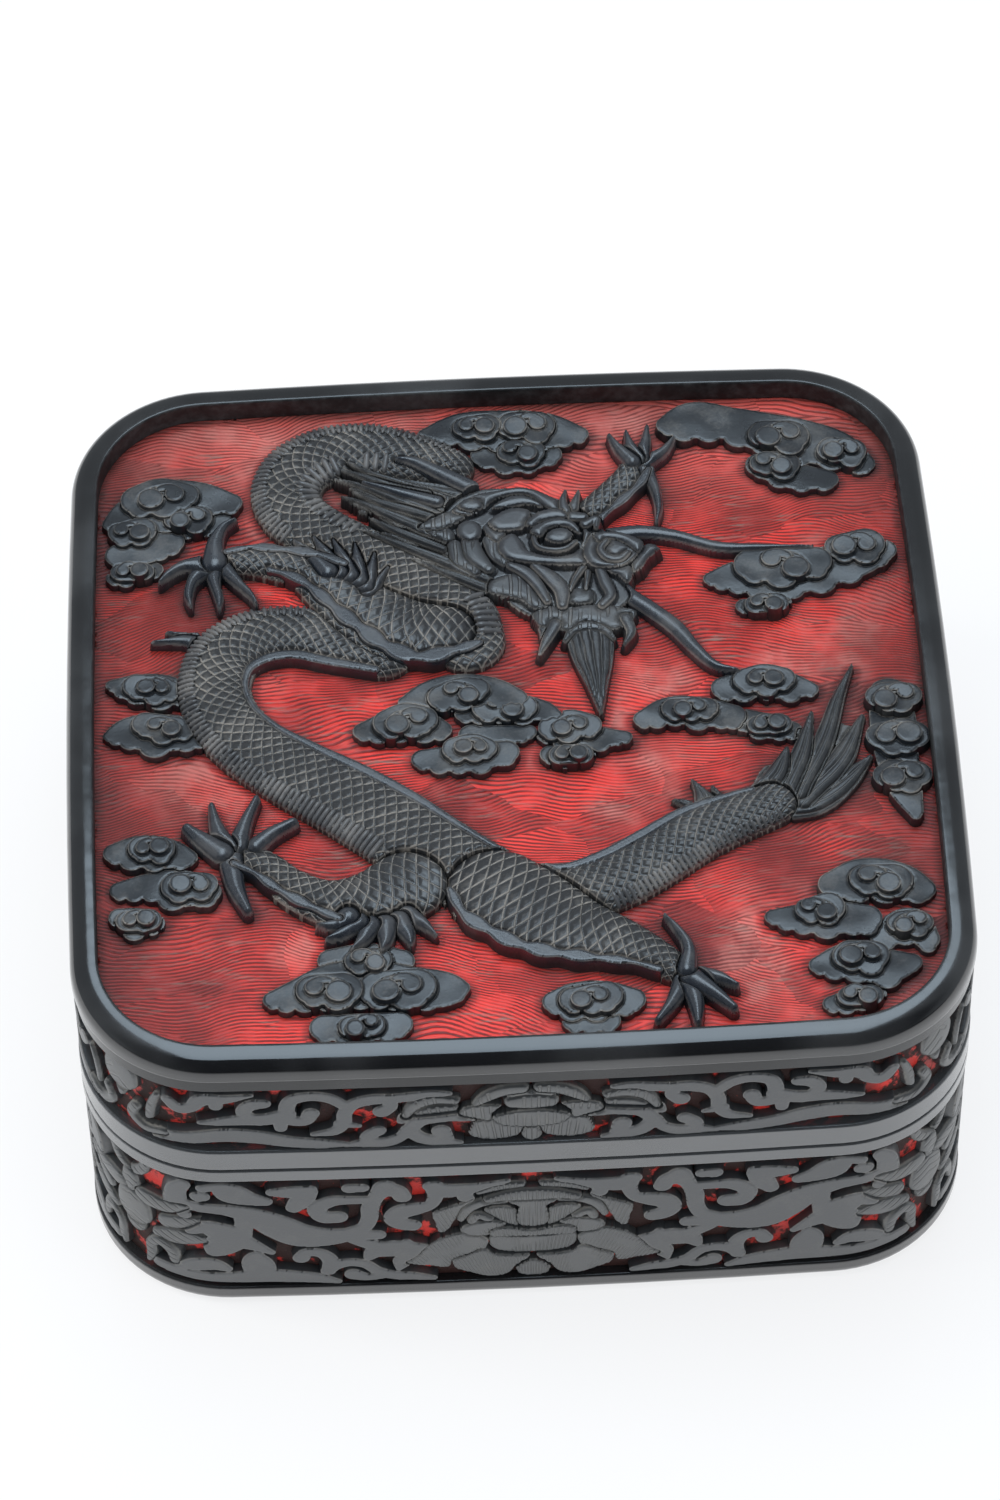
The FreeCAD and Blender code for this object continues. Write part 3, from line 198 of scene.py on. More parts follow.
table_finish, start, shader = new_finish("table", base_color=(0.9, 0.905, 0.91, 1), roughness=0.6)
glow = start.node("ShaderNodeEmission", None, {"Color": (0.985, 0.99, 1.0, 1.0), "Strength": 1.0})
lit = Finish(start.tree, shader.outputs["BSDF"])
shown = rays(start, "Camera").maths("MAXIMUM", rays(start, "Glossy"))
shown = shown.maths("MAXIMUM", rays(start, "Transmission"))
blend = start.node("ShaderNodeMixShader", None, {0: shown * TABLE_GLOW, 1: lit, 2: glow})
north = start.node("ShaderNodeTexCoord", None, None, OBJECT_OUTPUT).parts()[1]
far_side = (north * -1.0).ramp(*MIRROR_FADE)
unlit = start.node("ShaderNodeEmission", None, {"Color": (0.02, 0.02, 0.022, 1.0), "Strength": 1.0})
blend = start.node("ShaderNodeMixShader", None, {0: rays(start, "Glossy") * far_side, 1: blend, 2: unlit})
start.tree.links.new(blend.socket, start.tree.nodes["Material Output"].inputs["Surface"])
TABLE_REACH = 4.0
sheet = bpy.data.meshes.new("table")
sheet.from_pydata([(-TABLE_REACH, -TABLE_REACH, 0), (TABLE_REACH, -TABLE_REACH, 0),
                   (TABLE_REACH, TABLE_REACH, 0), (-TABLE_REACH, TABLE_REACH, 0)], [], [(0, 1, 2, 3)])
sheet.materials.append(table_finish)
table = bpy.data.objects.new("table", sheet)
bpy.context.scene.collection.objects.link(table)
table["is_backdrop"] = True

world = bpy.data.worlds.new("studio")
bpy.context.scene.world = world
world.use_nodes = True
air = Finish(world.node_tree)
seen, through, mirrored = [rays(air, kind) for kind in ("Camera", "Transmission", "Glossy")]
ambient = air.node("ShaderNodeBackground", None, {"Color": (0.93, 0.96, 1.0, 1.0), "Strength": 0.78})
white = air.node("ShaderNodeBackground", None, {"Color": (0.97, 0.985, 1.0, 1.0), "Strength": 1.0})
dim = air.node("ShaderNodeBackground", None, {"Color": (0.86, 0.93, 1.0, 1.0), "Strength": 0.34})
unlit = air.node("ShaderNodeBackground", None, {"Color": (0.02, 0.02, 0.022, 1.0), "Strength": 1.0})
heading = air.node("ShaderNodeTexCoord")
towards = air.node("ShaderNodeVectorMath", {"operation": "DOT_PRODUCT"}, {0: heading, 1: DARK_SIDE}, 1)
shadowed = air.node("ShaderNodeMixShader", None, {0: towards.ramp(0.30, 0.62), 1: dim, 2: unlit})
lighting = air.node("ShaderNodeMixShader", None, {0: mirrored, 1: ambient, 2: shadowed})
room = air.node("ShaderNodeMixShader", None, {0: seen.maths("MAXIMUM", through), 1: lighting, 2: white})
world.node_tree.links.new(room.socket, world.node_tree.nodes["World Output"].inputs["Surface"])

# name, place in metres, what it looks at, width and height in metres, colour, watts, if mirrored
LAMPS = [
    ("window", (0.03, 0.37, 1.66), (0, 0, 0.08), 0.80, 1.4, (0.70, 0.86, 1.0), 11.6, True),
    ("key", (-1.30, 0.10, 1.00), (0, 0, 0.05), 0.7, 0.7, (1.0, 0.96, 0.91), 12.0, False),
    ("fill", (1.20, -0.90, 0.90), (0, 0, 0.05), 1.0, 1.0, (1.0, 0.98, 0.96), 4.0, False),
]
for name, place, target, width, height, colour, watts, mirrored in LAMPS:
    lamp = bpy.data.lights.new(name, "AREA")
    lamp.shape = "RECTANGLE"
    lamp.size = width
    lamp.size_y = height
    lamp.color = colour
    lamp.energy = watts
    holder = bpy.data.objects.new(name, lamp)
    aim = Vector(target) - Vector(place)
    holder.matrix_world = Matrix.Translation(place) @ aim.to_track_quat("-Z", "Y").to_matrix().to_4x4()
    holder.visible_glossy = mirrored
    bpy.context.scene.collection.objects.link(holder)


# The wooden core, hidden by lacquer on both sides: panels and bent walls of a plain softwood,
# planed and glued. Only a cut or a chip would show it, so the grain is kept simple. The rims
# where the two halves meet are lacquered black.


def grain_coordinates(start):
    """Object coordinates in millimetres."""
    place = start.node("ShaderNodeTexCoord", None, None, OBJECT_OUTPUT)
    return start.node("ShaderNodeVectorMath", {"operation": "SCALE"}, {"Vector": place, "Scale": 1 / MM})


def dress(material, *nodes):
    """Put a finish on CAD nodes that keep their shape."""
    for node in nodes:
        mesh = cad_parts[node].data
        mesh.materials.clear()
        mesh.materials.append(material)


MOUTH_LEVEL = 52.0
BLACK_LACQUER = (0.007, 0.0075, 0.0085)

wood, start, shader = new_finish("core_wood")
where = grain_coordinates(start)
drawn_out = start.node("ShaderNodeMapping", None, {"Vector": where, "Scale": (0.01, 0.12, 0.12)})
rings = start.noise(drawn_out, 3.0, 4.0)
lacquered = 1 - (where.parts()[2] - MOUTH_LEVEL).maths("ABSOLUTE").ramp(0.9, 1.0)
feed(shader, base_color=lacquered.tint(rings.tint((0.62, 0.45, 0.27), (0.42, 0.27, 0.15)), BLACK_LACQUER),
     roughness=0.7 - lacquered * 0.45, normal=rings.bump(0.2 * MM))
dress(wood, "base_floor_board", "base_core_wall", "lid_core_wall", "lid_top_board")


# Smooth black lacquer: foot, mouths, shoulder, rolled frame, linings and lip. Many thin coats on
# the wood, rubbed down and polished, so it mirrors the room. Dust and fine scratches dull it.

SIDE_RADIUS = 2400.0
CORNER_RADIUS = 31.8
CORNER_SPOT = 67.25
SIDE_SPOT = SIDE_RADIUS - 100.0


def drawn_in(where):
    """How far a point of a finish lies inside the box's bowed square outline, and its height."""
    east, north, height = where.parts()
    x, y = east.maths("ABSOLUTE"), north.maths("ABSOLUTE")
    along_x = (x * x + (y + SIDE_SPOT) * (y + SIDE_SPOT)).maths("SQRT")
    along_y = (y * y + (x + SIDE_SPOT) * (x + SIDE_SPOT)).maths("SQRT")
    dx, dy = x - CORNER_SPOT, y - CORNER_SPOT
    round_corner = CORNER_RADIUS - (dx * dx + dy * dy).maths("SQRT")
    in_corner = dx.maths("MINIMUM", dy).maths("GREATER_THAN", 0.9)
    straight = SIDE_RADIUS - along_x.maths("MAXIMUM", along_y)
    return straight + (round_corner - straight) * in_corner, height


RUBBED_LACQUER = (0.040, 0.042, 0.044)
DUSTY_INSETS = (5.7, 6.1)
DUSTY_LEVELS = (84.0, 85.0)


def polished(name, roughness, dulled, colour=BLACK_LACQUER, ior=1.75):
    """Polished black lacquer, dulled in patches by handling, and by dust inside the frame."""
    material, start, shader = new_finish(name, ior=ior, coat_roughness=0.06)
    where = grain_coordinates(start)
    patches = start.noise(where, 0.03, 3.0).ramp(0.42, 0.68)
    specks = start.noise(where, 1.3, 2.0, 0.7).ramp(0.68, 0.76)
    drawn_out = start.node("ShaderNodeMapping", None, {"Vector": where, "Scale": (0.4, 0.4, 4.0)})
    scratches = start.noise(drawn_out, 0.9, 3.0, 0.7)
    inset, height = drawn_in(where)
    dusty = inset.ramp(*DUSTY_INSETS) * height.ramp(*DUSTY_LEVELS)
    worn = patches * 0.5 + specks * 0.35 + dusty * start.noise(where, 0.4, 4.0, 0.7).ramp(0.35, 0.75) * 0.8
    feed(shader, base_color=worn.maths("MINIMUM", 1.0).tint(colour, RUBBED_LACQUER),
         coat_weight=0.6 - dusty * 0.6,
         roughness=roughness + patches * dulled + scratches * 0.06 + dusty * 0.5,
         normal=start.noise(where, 0.12, 2.0).bump(0.1 * MM, 1.0))
    return material


smooth_black = polished("polished_black", 0.12, 0.12)
dress(smooth_black, "base_foot_moulding")
shoulder_black = polished("shoulder_black", 0.18, 0.10, ior=1.3)
dress(shoulder_black, "lid_shoulder_band")
mouth_black = polished("mouth_black", 0.18, 0.08, (0.045, 0.050, 0.055), 2.0)
dress(mouth_black, "lid_mouth_moulding", "base_mouth_moulding")
lining_black = polished("lining_black", 0.22, 0.15)
dress(lining_black, "base_lining", "lid_lining", "base_locating_lip", "base_underside_lacquer")


# Rolled frame of the lid: the same polished black lacquer built up thick over a wooden rim. Its
# top is nearly flat, and rolls over quickly at the outside. It is one ring, swept round the lid.

FRAME_FOOT, FRAME_TOP = [corner.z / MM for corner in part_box("lid_frame_moulding")]
FRAME_INSET = 6.2
CHAMFER = 0.2
ROLL = 5.2
ROLL_POWER = 2 / 3
EASE = 0.5
FRAME_TURNS = 24


def outline_ring():
    """Points of the box's bowed square outline, and the way out at each."""
    bow = math.atan2(CORNER_SPOT, CORNER_SPOT + SIDE_SPOT)
    quarter = np.concatenate([np.linspace(-bow, bow, 9)[:-1],
                              np.linspace(bow, math.pi / 2 - bow, FRAME_TURNS)[:-1]])
    out = np.stack([np.cos(quarter), np.sin(quarter)], 1)
    on_side = quarter < bow
    centre = np.where(on_side[:, None], (-SIDE_SPOT, 0.0), (CORNER_SPOT, CORNER_SPOT))
    spots = centre + np.where(on_side, SIDE_RADIUS, CORNER_RADIUS)[:, None] * out
    points, outward = [], []
    for turn in range(4):
        points.append(spots)
        outward.append(out)
        spots, out = [np.stack([-both[:, 1], both[:, 0]], 1) for both in (spots, out)]
    return np.concatenate(points), np.concatenate(outward)


angles = np.linspace(0, math.pi / 2, 17)
section = [(CHAMFER, FRAME_FOOT), (0.0, FRAME_FOOT + CHAMFER), (0.0, FRAME_FOOT + 2 * CHAMFER)]
section += [(ROLL * (1 - math.cos(angle)**ROLL_POWER), FRAME_TOP - ROLL * (1 - math.sin(angle)**ROLL_POWER))
            for angle in angles]
section += [(FRAME_INSET - EASE * (1 - math.sin(angle)), FRAME_TOP - EASE * (1 - math.cos(angle)))
            for angle in angles[::3]]
section += [(FRAME_INSET, FRAME_TOP - 1.0), (FRAME_INSET, FRAME_FOOT + 2 * CHAMFER),
            (FRAME_INSET, FRAME_FOOT + CHAMFER), (FRAME_INSET - CHAMFER, FRAME_FOOT),
            (FRAME_INSET - 2 * CHAMFER, FRAME_FOOT), (2 * CHAMFER, FRAME_FOOT)]
spots, outward = outline_ring()
rings = [np.column_stack([spots - inset * outward, np.full(len(spots), height)]) for inset, height in section]
count = len(spots)
faces = []
for row in range(len(section)):
    above = (row + 1) % len(section)
    for place in range(count):
        beside = (place + 1) % count
        faces.append((row * count + place, row * count + beside,
                      above * count + beside, above * count + place))
mesh = bpy.data.meshes.new("lid_frame_rolled")
mesh.from_pydata((np.concatenate(rings) * MM).tolist(), [], faces)
mesh.polygons.foreach_set("use_smooth", np.ones(len(faces), bool))
mesh.materials.append(polished("frame_black", 0.10, 0.10, ior=1.6))
rolled_frame = bpy.data.objects.new("lid_frame_rolled", mesh)
bpy.context.scene.collection.objects.link(rolled_frame)
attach(rolled_frame, "lid")
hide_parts("lid_frame_moulding")


# Red ground: the lower layers of lacquer, bared between the ornament and scored by the carver.
# Round the sides it lies deep between the vines: painted shade darkens all of it, and dirt darkens it further
# in patches.

RED_DEEP = (0.24, 0.014, 0.010)
RED_BRIGHT = (0.84, 0.044, 0.032)
# pink of rubbed lacquer, also the colour of the painted sheen at the back of the lid
RED_WEAR_AND_SHEEN = (0.58, 0.20, 0.17)
# near-black brown: soot, and painted shade where the red ground lies deep or beside the ornament
SOOT_AND_SHADE = (0.022, 0.014, 0.012)

side_red, start, shader = new_finish("side_red", specular_ior_level=0.35)
where = grain_coordinates(start)
patches = start.noise(where, 0.05, 3.0)
grime_and_shade = start.noise(where, 0.16, 4.0, 0.65).ramp(0.40, 0.49)
red = patches.ramp(0.32, 0.56).tint(RED_DEEP, RED_BRIGHT)
# painted shade: the whole side ground is tinted a fixed share towards near-black, and dirt patches add more
feed(shader, base_color=(0.22 + grime_and_shade * 0.76).tint(red, SOOT_AND_SHADE), roughness=0.45 + grime_and_shade * 0.25,
     normal=start.noise(where, 2.2, 2.0).bump(0.3 * MM, 0.5))
dress(side_red, "base_side_ground", "lid_side_ground")


# Carving: the drawing boards, and the plates of black lacquer that are cut out on them.
# All lengths of a drawing are in millimetres until its mesh is made.

HALF_SIDE = 100.0
REACH = 3.0
SMALLEST = 0.12
THINNEST = 0.15
DISC_STEP = 0.28
FLATTEST = 0.3
NEAR = 0.75
DRAFT = 0.12


def flowing(points, closed=False):
    """Smooth run through points (x, y, ...), even in length: rows of values, and run lengths."""
    points = np.array(points, float)
    if closed:
        points = np.vstack([points[-1:], points, points[:2]])
    else:
        if len(points) == 2:
            points = np.array([points[0], points.mean(0), points[1]])
        points = np.vstack([2 * points[:1] - points[1:2], points, 2 * points[-1:] - points[-2:-1]])
    last = len(points) - 2
    knots = np.concatenate([[0.0], np.cumsum(np.hypot(*np.diff(points[:, :2], axis=0).T))])
    slopes = np.gradient(points, knots, axis=0)
    runs = []
    for place in range(1, last):
        length = knots[place + 1] - knots[place]
        steps = max(2, int(length / SMALLEST / 2))
        u = np.linspace(0, 1, steps, endpoint=False)[:, None]
        runs.append((2 * u**3 - 3 * u**2 + 1) * points[place] + (u**3 - 2 * u**2 + u) * length * slopes[place]
                    + (3 * u**2 - 2 * u**3) * points[place + 1] + (u**3 - u**2) * length * slopes[place + 1])
    runs.append(points[last:last + 1])
    line = np.vstack(runs)
    length = np.concatenate([[0.0], np.cumsum(np.hypot(*np.diff(line[:, :2], axis=0).T))])
    return line, length


class Board:
    """Points of a drawing board: how deep each lies in the drawing, how far along and across."""

    def __init__(self, low, high, pitch):
        self.pitch = pitch
        self.first = (int(math.floor(low[0] / pitch)), int(math.floor(low[1] / pitch)))
        columns = int(math.ceil(high[0] / pitch)) - self.first[0] + 1
        rows = int(math.ceil(high[1] / pitch)) - self.first[1] + 1
        self.x = (self.first[0] + np.arange(columns)) * pitch
        self.y = (self.first[1] + np.arange(rows)) * pitch
        self.deep = np.full((rows, columns), -REACH)
        self.run = np.zeros((rows, columns))
        self.side = np.zeros((rows, columns))
        self.out = np.ones((rows, columns))

    def disc(self, x, y, radius, along=(1.0, 0.0), run=0.0):
        """Widen the drawing by one disc."""
        reach = radius + REACH
        left, right = np.searchsorted(self.x, (x - reach, x + reach))
        low, high = np.searchsorted(self.y, (y - reach, y + reach))
        if left >= right or low >= high:
            return
        part = (slice(low, high), slice(left, right))
        dx = self.x[None, left:right] - x
        dy = self.y[low:high, None] - y
        far = np.hypot(dx, dy)
        deep = radius - far
        better = deep > self.deep[part]
        self.deep[part][better] = deep[better]
        self.run[part][better] = (run + dx * along[0] + dy * along[1])[better]
        self.side[part][better] = ((dy * along[0] - dx * along[1]) / radius)[better]
        self.out[part][better] = (far / radius)[better]

    def stroke(self, points):
        """Widen the drawing by a stroke of (x, y, half width)."""
        line, length = flowing(points)
        heading = np.gradient(line[:, :2], axis=0)
        heading /= np.hypot(*heading.T)[:, None] + 1e-9
        done = -1.0
        for place, (x, y, width) in enumerate(line):
            width = max(width, THINNEST)
            if length[place] - done < DISC_STEP * math.sqrt(width) and place < len(line) - 1:
                continue
            done = length[place]
            self.disc(x, y, width, heading[place], length[place])

    def petal(self, points):
        """Widen the drawing by a smooth closed outline of (x, y)."""
        line, length = flowing(points, closed=True)
        line = line[:, :2]
        x, y = self.x[None, :], self.y[:, None]
        inside = np.zeros(self.deep.shape, bool)
        for (x0, y0), (x1, y1) in zip(line, np.roll(line, -1, axis=0)):
            if y0 == y1:
                continue
            crossing = ((y0 > y) != (y1 > y)) & (x < (x1 - x0) * (y - y0) / (y1 - y0) + x0)
            inside ^= crossing
        rim = np.full(self.deep.shape, REACH)
        run = np.zeros(self.deep.shape)
        for (px, py), at in zip(line[::2], length[::2]):
            left, right = np.searchsorted(self.x, (px - REACH, px + REACH))
            low, high = np.searchsorted(self.y, (py - REACH, py + REACH))
            part = (slice(low, high), slice(left, right))
            far = np.hypot(self.x[None, left:right] - px, self.y[low:high, None] - py)
            nearer = far < rim[part]
            rim[part][nearer] = far[nearer]
            run[part][nearer] = at
        deep = np.where(inside, rim, -rim)
        better = deep > self.deep
        self.deep[better] = deep[better]
        self.run[better] = run[better]
        self.side[better] = 0.0
        self.out[better] = 0.0

    def draw(self, points):
        """Stroke or petal, told apart by what each of its points holds."""
        if len(points[0]) == 3:
            self.stroke(points)
        else:
            self.petal(points)

    def part_of(self, other):
        """Where this board lies on a larger one of the same pitch."""
        column = self.first[0] - other.first[0]
        row = self.first[1] - other.first[1]
        return slice(row, row + len(self.y)), slice(column, column + len(self.x))


class Carving:
    """Mesh of one carved piece, gathered plate by plate."""

    def __init__(self):
        self.points = []
        self.faces = []
        self.facts = []
        self.finishes = []
        self.count = 0

    def add(self, points, faces, facts, finish):
        """Take in more points and faces, with the depth, run, side and level of each point."""
        self.points.append(points)
        self.faces.append(faces + self.count)
        self.facts.append(facts)
        self.finishes.append(np.full(len(faces), finish))
        self.count += len(points)

    def plate(self, board, height, finish, deep, draft=DRAFT):
        """Plate over the depths on a board. height works out the level of the face at its spots."""
        pitch = board.pitch
        rise_y, rise_x = np.gradient(deep, pitch)
        steep = np.clip(rise_x**2 + rise_y**2, FLATTEST, None)
        x, y = np.meshgrid(board.x, board.y)
        near = np.abs(deep) < NEAR * pitch
        x = np.where(near, x - deep * rise_x / steep, x)
        y = np.where(near, y - deep * rise_y / steep, y)
        depth = np.where(near, 0.0, deep)
        usable = deep > -NEAR * pitch
        corners = [deep[:-1, :-1], deep[:-1, 1:], deep[1:, 1:], deep[1:, :-1]]
        kept = usable[:-1, :-1] & usable[:-1, 1:] & usable[1:, 1:] & usable[1:, :-1]
        kept &= (np.max(corners, axis=0) > NEAR * pitch) | (np.mean(corners, axis=0) > 0)
        if not kept.any():
            return
        rows, columns = np.nonzero(kept)
        quads = np.stack([rows * len(board.x) + columns, rows * len(board.x) + columns + 1,
                          (rows + 1) * len(board.x) + columns + 1, (rows + 1) * len(board.x) + columns], 1)
        used, quads = np.unique(quads, return_inverse=True)
        quads = quads.reshape(-1, 4)
        fields = {"x": x, "y": y, "depth": depth, "run": board.run, "side": board.side, "out": board.out}
        spot = SimpleNamespace(**{name: field.ravel()[used] for name, field in fields.items()})
        level = height(spot) + np.zeros(len(used))
        self.add(np.stack([spot.x, spot.y, level], 1), quads,
                 np.stack([spot.depth, spot.run, spot.side, level], 1), finish)
        padded = np.pad(kept, 1)
        number = np.full(deep.size, -1)
        number[used] = np.arange(len(used))
        walls = []
        for row_step, column_step, start, end in ((-1, 0, (0, 0), (0, 1)), (0, 1, (0, 1), (1, 1)),
                                                  (1, 0, (1, 1), (1, 0)), (0, -1, (1, 0), (0, 0))):
            beside = padded[1 + row_step:padded.shape[0] - 1 + row_step,
                            1 + column_step:padded.shape[1] - 1 + column_step]
            row, column = np.nonzero(kept & ~beside)
            walls.append(np.stack([number[(row + corner[0]) * len(board.x) + column + corner[1]]
                                   for corner in (start, end)], 1))
        walls = np.vstack(walls)
        rim, ends = np.unique(walls, return_inverse=True)
        ends = ends.reshape(-1, 2)
        out_x = -(rise_x / np.sqrt(steep)).ravel()[used][rim]
        out_y = -(rise_y / np.sqrt(steep)).ravel()[used][rim]
        top = level[rim]
        spread = draft * top
        top_points = np.stack([spot.x[rim], spot.y[rim], top], 1)
        ground = np.zeros(len(rim))
        foot_points = np.stack([spot.x[rim] + out_x * spread, spot.y[rim] + out_y * spread, ground], 1)
        quads = np.stack([ends[:, 0], ends[:, 0] + len(rim), ends[:, 1] + len(rim), ends[:, 1]], 1)
        top_facts = np.stack([ground, spot.run[rim], spot.side[rim], top], 1)
        foot_facts = np.stack([-top, spot.run[rim], spot.side[rim], ground], 1)
        self.add(np.vstack([top_points, foot_points]), quads, np.vstack([top_facts, foot_facts]), finish)

    def finished(self, name, materials, place):
        """The mesh as an object, with what each of its points knows in attributes."""
        points = place(*np.vstack(self.points).T) * MM
        faces = np.vstack(self.faces)
        facts = np.vstack(self.facts)
        mesh = bpy.data.meshes.new(name)
        mesh.vertices.add(len(points))
        mesh.vertices.foreach_set("co", points.ravel().astype(np.float32))
        mesh.loops.add(faces.size)
        mesh.loops.foreach_set("vertex_index", faces.ravel().astype(np.int32))
        mesh.polygons.add(len(faces))
        mesh.polygons.foreach_set("loop_start", np.arange(0, faces.size, 4, dtype=np.int32))
        mesh.polygons.foreach_set("material_index", np.concatenate(self.finishes).astype(np.int32))
        mesh.update(calc_edges=True)
        mesh.validate()
        mesh.polygons.foreach_set("use_smooth", np.ones(len(mesh.polygons), bool))
        carve = mesh.attributes.new("carve", "FLOAT_VECTOR", "POINT")
        carve.data.foreach_set("vector", facts[:, :3].astype(np.float32).ravel())
        level = mesh.attributes.new("level", "FLOAT", "POINT")
        level.data.foreach_set("value", facts[:, 3].astype(np.float32))
        for material in materials:
            mesh.materials.append(material)
        piece = bpy.data.objects.new(name, mesh)
        bpy.context.scene.collection.objects.link(piece)
        return piece


def carved_piece(carving, node, materials, place, body):
    """Finish a carving, hang it on the body it rides on, and hide the CAD node it stands for."""
    piece = carving.finished(node + "_carved", materials, place)
    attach(piece, body)
    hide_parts(node)


def rounded(spot, edge):
    """How far the rounded edge of a face falls below it."""
    inner = np.clip(1 - spot.depth / edge, 0, 1)
    return edge * (1 - np.sqrt(1 - inner**2))


def swell(spot):
    """Share of its crown that a domed stroke reaches: none at its sides, all in the middle."""
    return np.sqrt(np.clip(1 - np.clip(spot.out, 0, 1)**2, 0, 1))


def flat_face(rise, edge=0.5, lean=(0.0, 0.0), middle=(0.0, 0.0)):
    """Height of a flat face with a rounded edge, perhaps leaning about its middle."""
    def height(spot):
        """Level of the face at its spots."""
        slope = lean[0] * (spot.x - middle[0]) + lean[1] * (spot.y - middle[1])
        return rise + slope - rounded(spot, edge)
    return height


def domed_face(low, rise, edge=0.35):
    """Height of a face that swells from low at its sides to rise in the middle."""
    return lambda spot: low - rounded(spot, edge) + (rise - low) * swell(spot)


def pillowed_face(rise, fall, reach, edge):
    """Height of a face that sinks softly towards its rim, and drops at the rim itself."""
    def height(spot):
        """Level of the face at its spots."""
        soft = np.clip(1 - spot.depth / reach, 0, 1)**2
        return rise - fall * np.where(spot.out > 0, 1 - swell(spot), soft) - rounded(spot, edge)
    return height


RIDGE = 0.35


def combed_face(low, rise, lines, cut=0.35):
    """Height of a domed face cut into strands that run along it."""
    dome = domed_face(low, rise)

    def height(spot):
        """Level of the face at its spots."""
        valley = np.clip(np.cos(spot.side * math.pi * lines) - RIDGE, 0, 1) / (1 - RIDGE)
        return dome(spot) - cut * valley * np.clip(spot.depth / 0.5, 0, 1)
    return height


def shares(drawings):
    """Drawings in shares of half the side, in millimetres."""
    return [[tuple(value * HALF_SIDE for value in point) for point in drawing] for drawing in drawings]


# Ornament of the lid. It is all cut from one thick coat of black lacquer over the red ground,
# so every piece stands on the ground with a clean upright edge. The carver works from the
# front of the design to the back, and what lies behind stops short of what lies in front.

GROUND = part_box("lid_top_ground")[1].z / MM
PITCH = 0.3
GROOVE = 0.25


def inside_outline(x, y, inset):
    """Distance of points inside the box's bowed square outline drawn in by inset."""
    x, y = np.abs(x), np.abs(y)
    sides = SIDE_RADIUS - inset - np.maximum(np.hypot(x, y + SIDE_SPOT), np.hypot(y, x + SIDE_SPOT))
    dx, dy = x - CORNER_SPOT, y - CORNER_SPOT
    turn = CORNER_SPOT / (CORNER_SPOT + SIDE_SPOT)
    in_corner = (dy > turn * dx) & (dx > turn * dy)
    return np.where(in_corner, CORNER_RADIUS - inset - np.hypot(dx, dy), sides)


LID_REACH = 96.0
lid_board = Board((-LID_REACH, -LID_REACH), (LID_REACH, LID_REACH), PITCH)
in_front = -inside_outline(lid_board.x[None, :], lid_board.y[:, None], FRAME_INSET)
in_front = np.maximum(in_front, -3 * REACH)


def on_lid(x, y, level):
    """Place on top of the lid."""
    return np.stack([x, y, GROUND + level], 1)


def laid_at(x, y):
    """How deep points on the lid lie in what has been laid so far."""
    columns = np.clip(np.round(x / PITCH).astype(int) - lid_board.first[0], 0, len(lid_board.x) - 1)
    rows = np.clip(np.round(y / PITCH).astype(int) - lid_board.first[1], 0, len(lid_board.y) - 1)
    return in_front[rows, columns]


def behind(board, covered, gap=GROOVE):
    """Depth of a drawing on a board where nothing that covers it is near."""
    return np.minimum(board.deep, -covered[board.part_of(lid_board)] - gap)


def cover(covered, board):
    """Let what follows lie behind the drawing on a board."""
    part = board.part_of(lid_board)
    covered[part] = np.maximum(covered[part], board.deep)


def board_round(spots, room):
    """Board for some spots on the lid and the room round them."""
    limit = LID_REACH - 1
    return Board(np.maximum(spots.min(0) - room, -limit), np.minimum(spots.max(0) + room, limit), PITCH)


def drawn(drawings):
    """Board on the lid with strokes and petals drawn on it."""
    spots = np.array([point[:2] for drawing in drawings for point in drawing])
    width = max([point[2] for drawing in drawings for point in drawing if len(point) == 3] + [0.0])
    board = board_round(spots, REACH + 1.2 * width)
    for drawing in drawings:
        board.draw(drawing)
    return board


# near-black for painted shade low on the walls of the relief
FOOT_SHADE_BLACK = (0.004, 0.0035, 0.0035)


def black_relief(name, pattern, colour, worn=(0.20, 0.185, 0.165), rough=0.24, ior=1.75, sway=1.0):
    """Carved black lacquer: satin faces, rims that handling has rubbed pale, specks of dust, and painted
    shade on the lower walls.
    """
    material, start, shader = new_finish(name, ior=ior)
    where = grain_coordinates(start)
    carve = start.node("ShaderNodeAttribute", {"attribute_name": "carve"}, None, 1)
    depth = carve.parts()[0]
    cloudy = start.noise(where, 0.11, 3.0, 0.6)
    fine = start.noise(where, 1.6, 3.0, 0.6)
    rim = (1 - depth.ramp(0.02, 0.34)) * depth.ramp(-0.30, 0.0)
    # painted shade: the walls darken towards the ground, starting 0.3 mm below the rim and strongest from 2.4
    # mm down
    dust = (cloudy + fine * 0.5).ramp(0.70, 0.98) * 0.22
    foot = 1 - depth.ramp(-2.4, -0.3)
    height = fine * 0.25 + start.noise(where, 0.075, 1.0) * sway
    if pattern is not None:
        lift, groove, wear = pattern(start, where, carve)
        height = height + lift
        dust = dust + groove * 0.55
        rim = rim + wear
    pale = (rim * (0.25 + cloudy.ramp(0.35, 0.7) * 0.55) + dust).maths("MINIMUM", 1.0)
    base = pale.tint(colour, worn)
    base = (foot * 0.6).tint(base, FOOT_SHADE_BLACK)
    feed(shader, base_color=base, roughness=rough + cloudy * 0.16 + pale * 0.25 + foot * 0.3,
         normal=height.bump(0.16 * MM, 0.8))
    return material


SCALE_LENGTH = 3.1
SIDE_LIMIT = 0.98


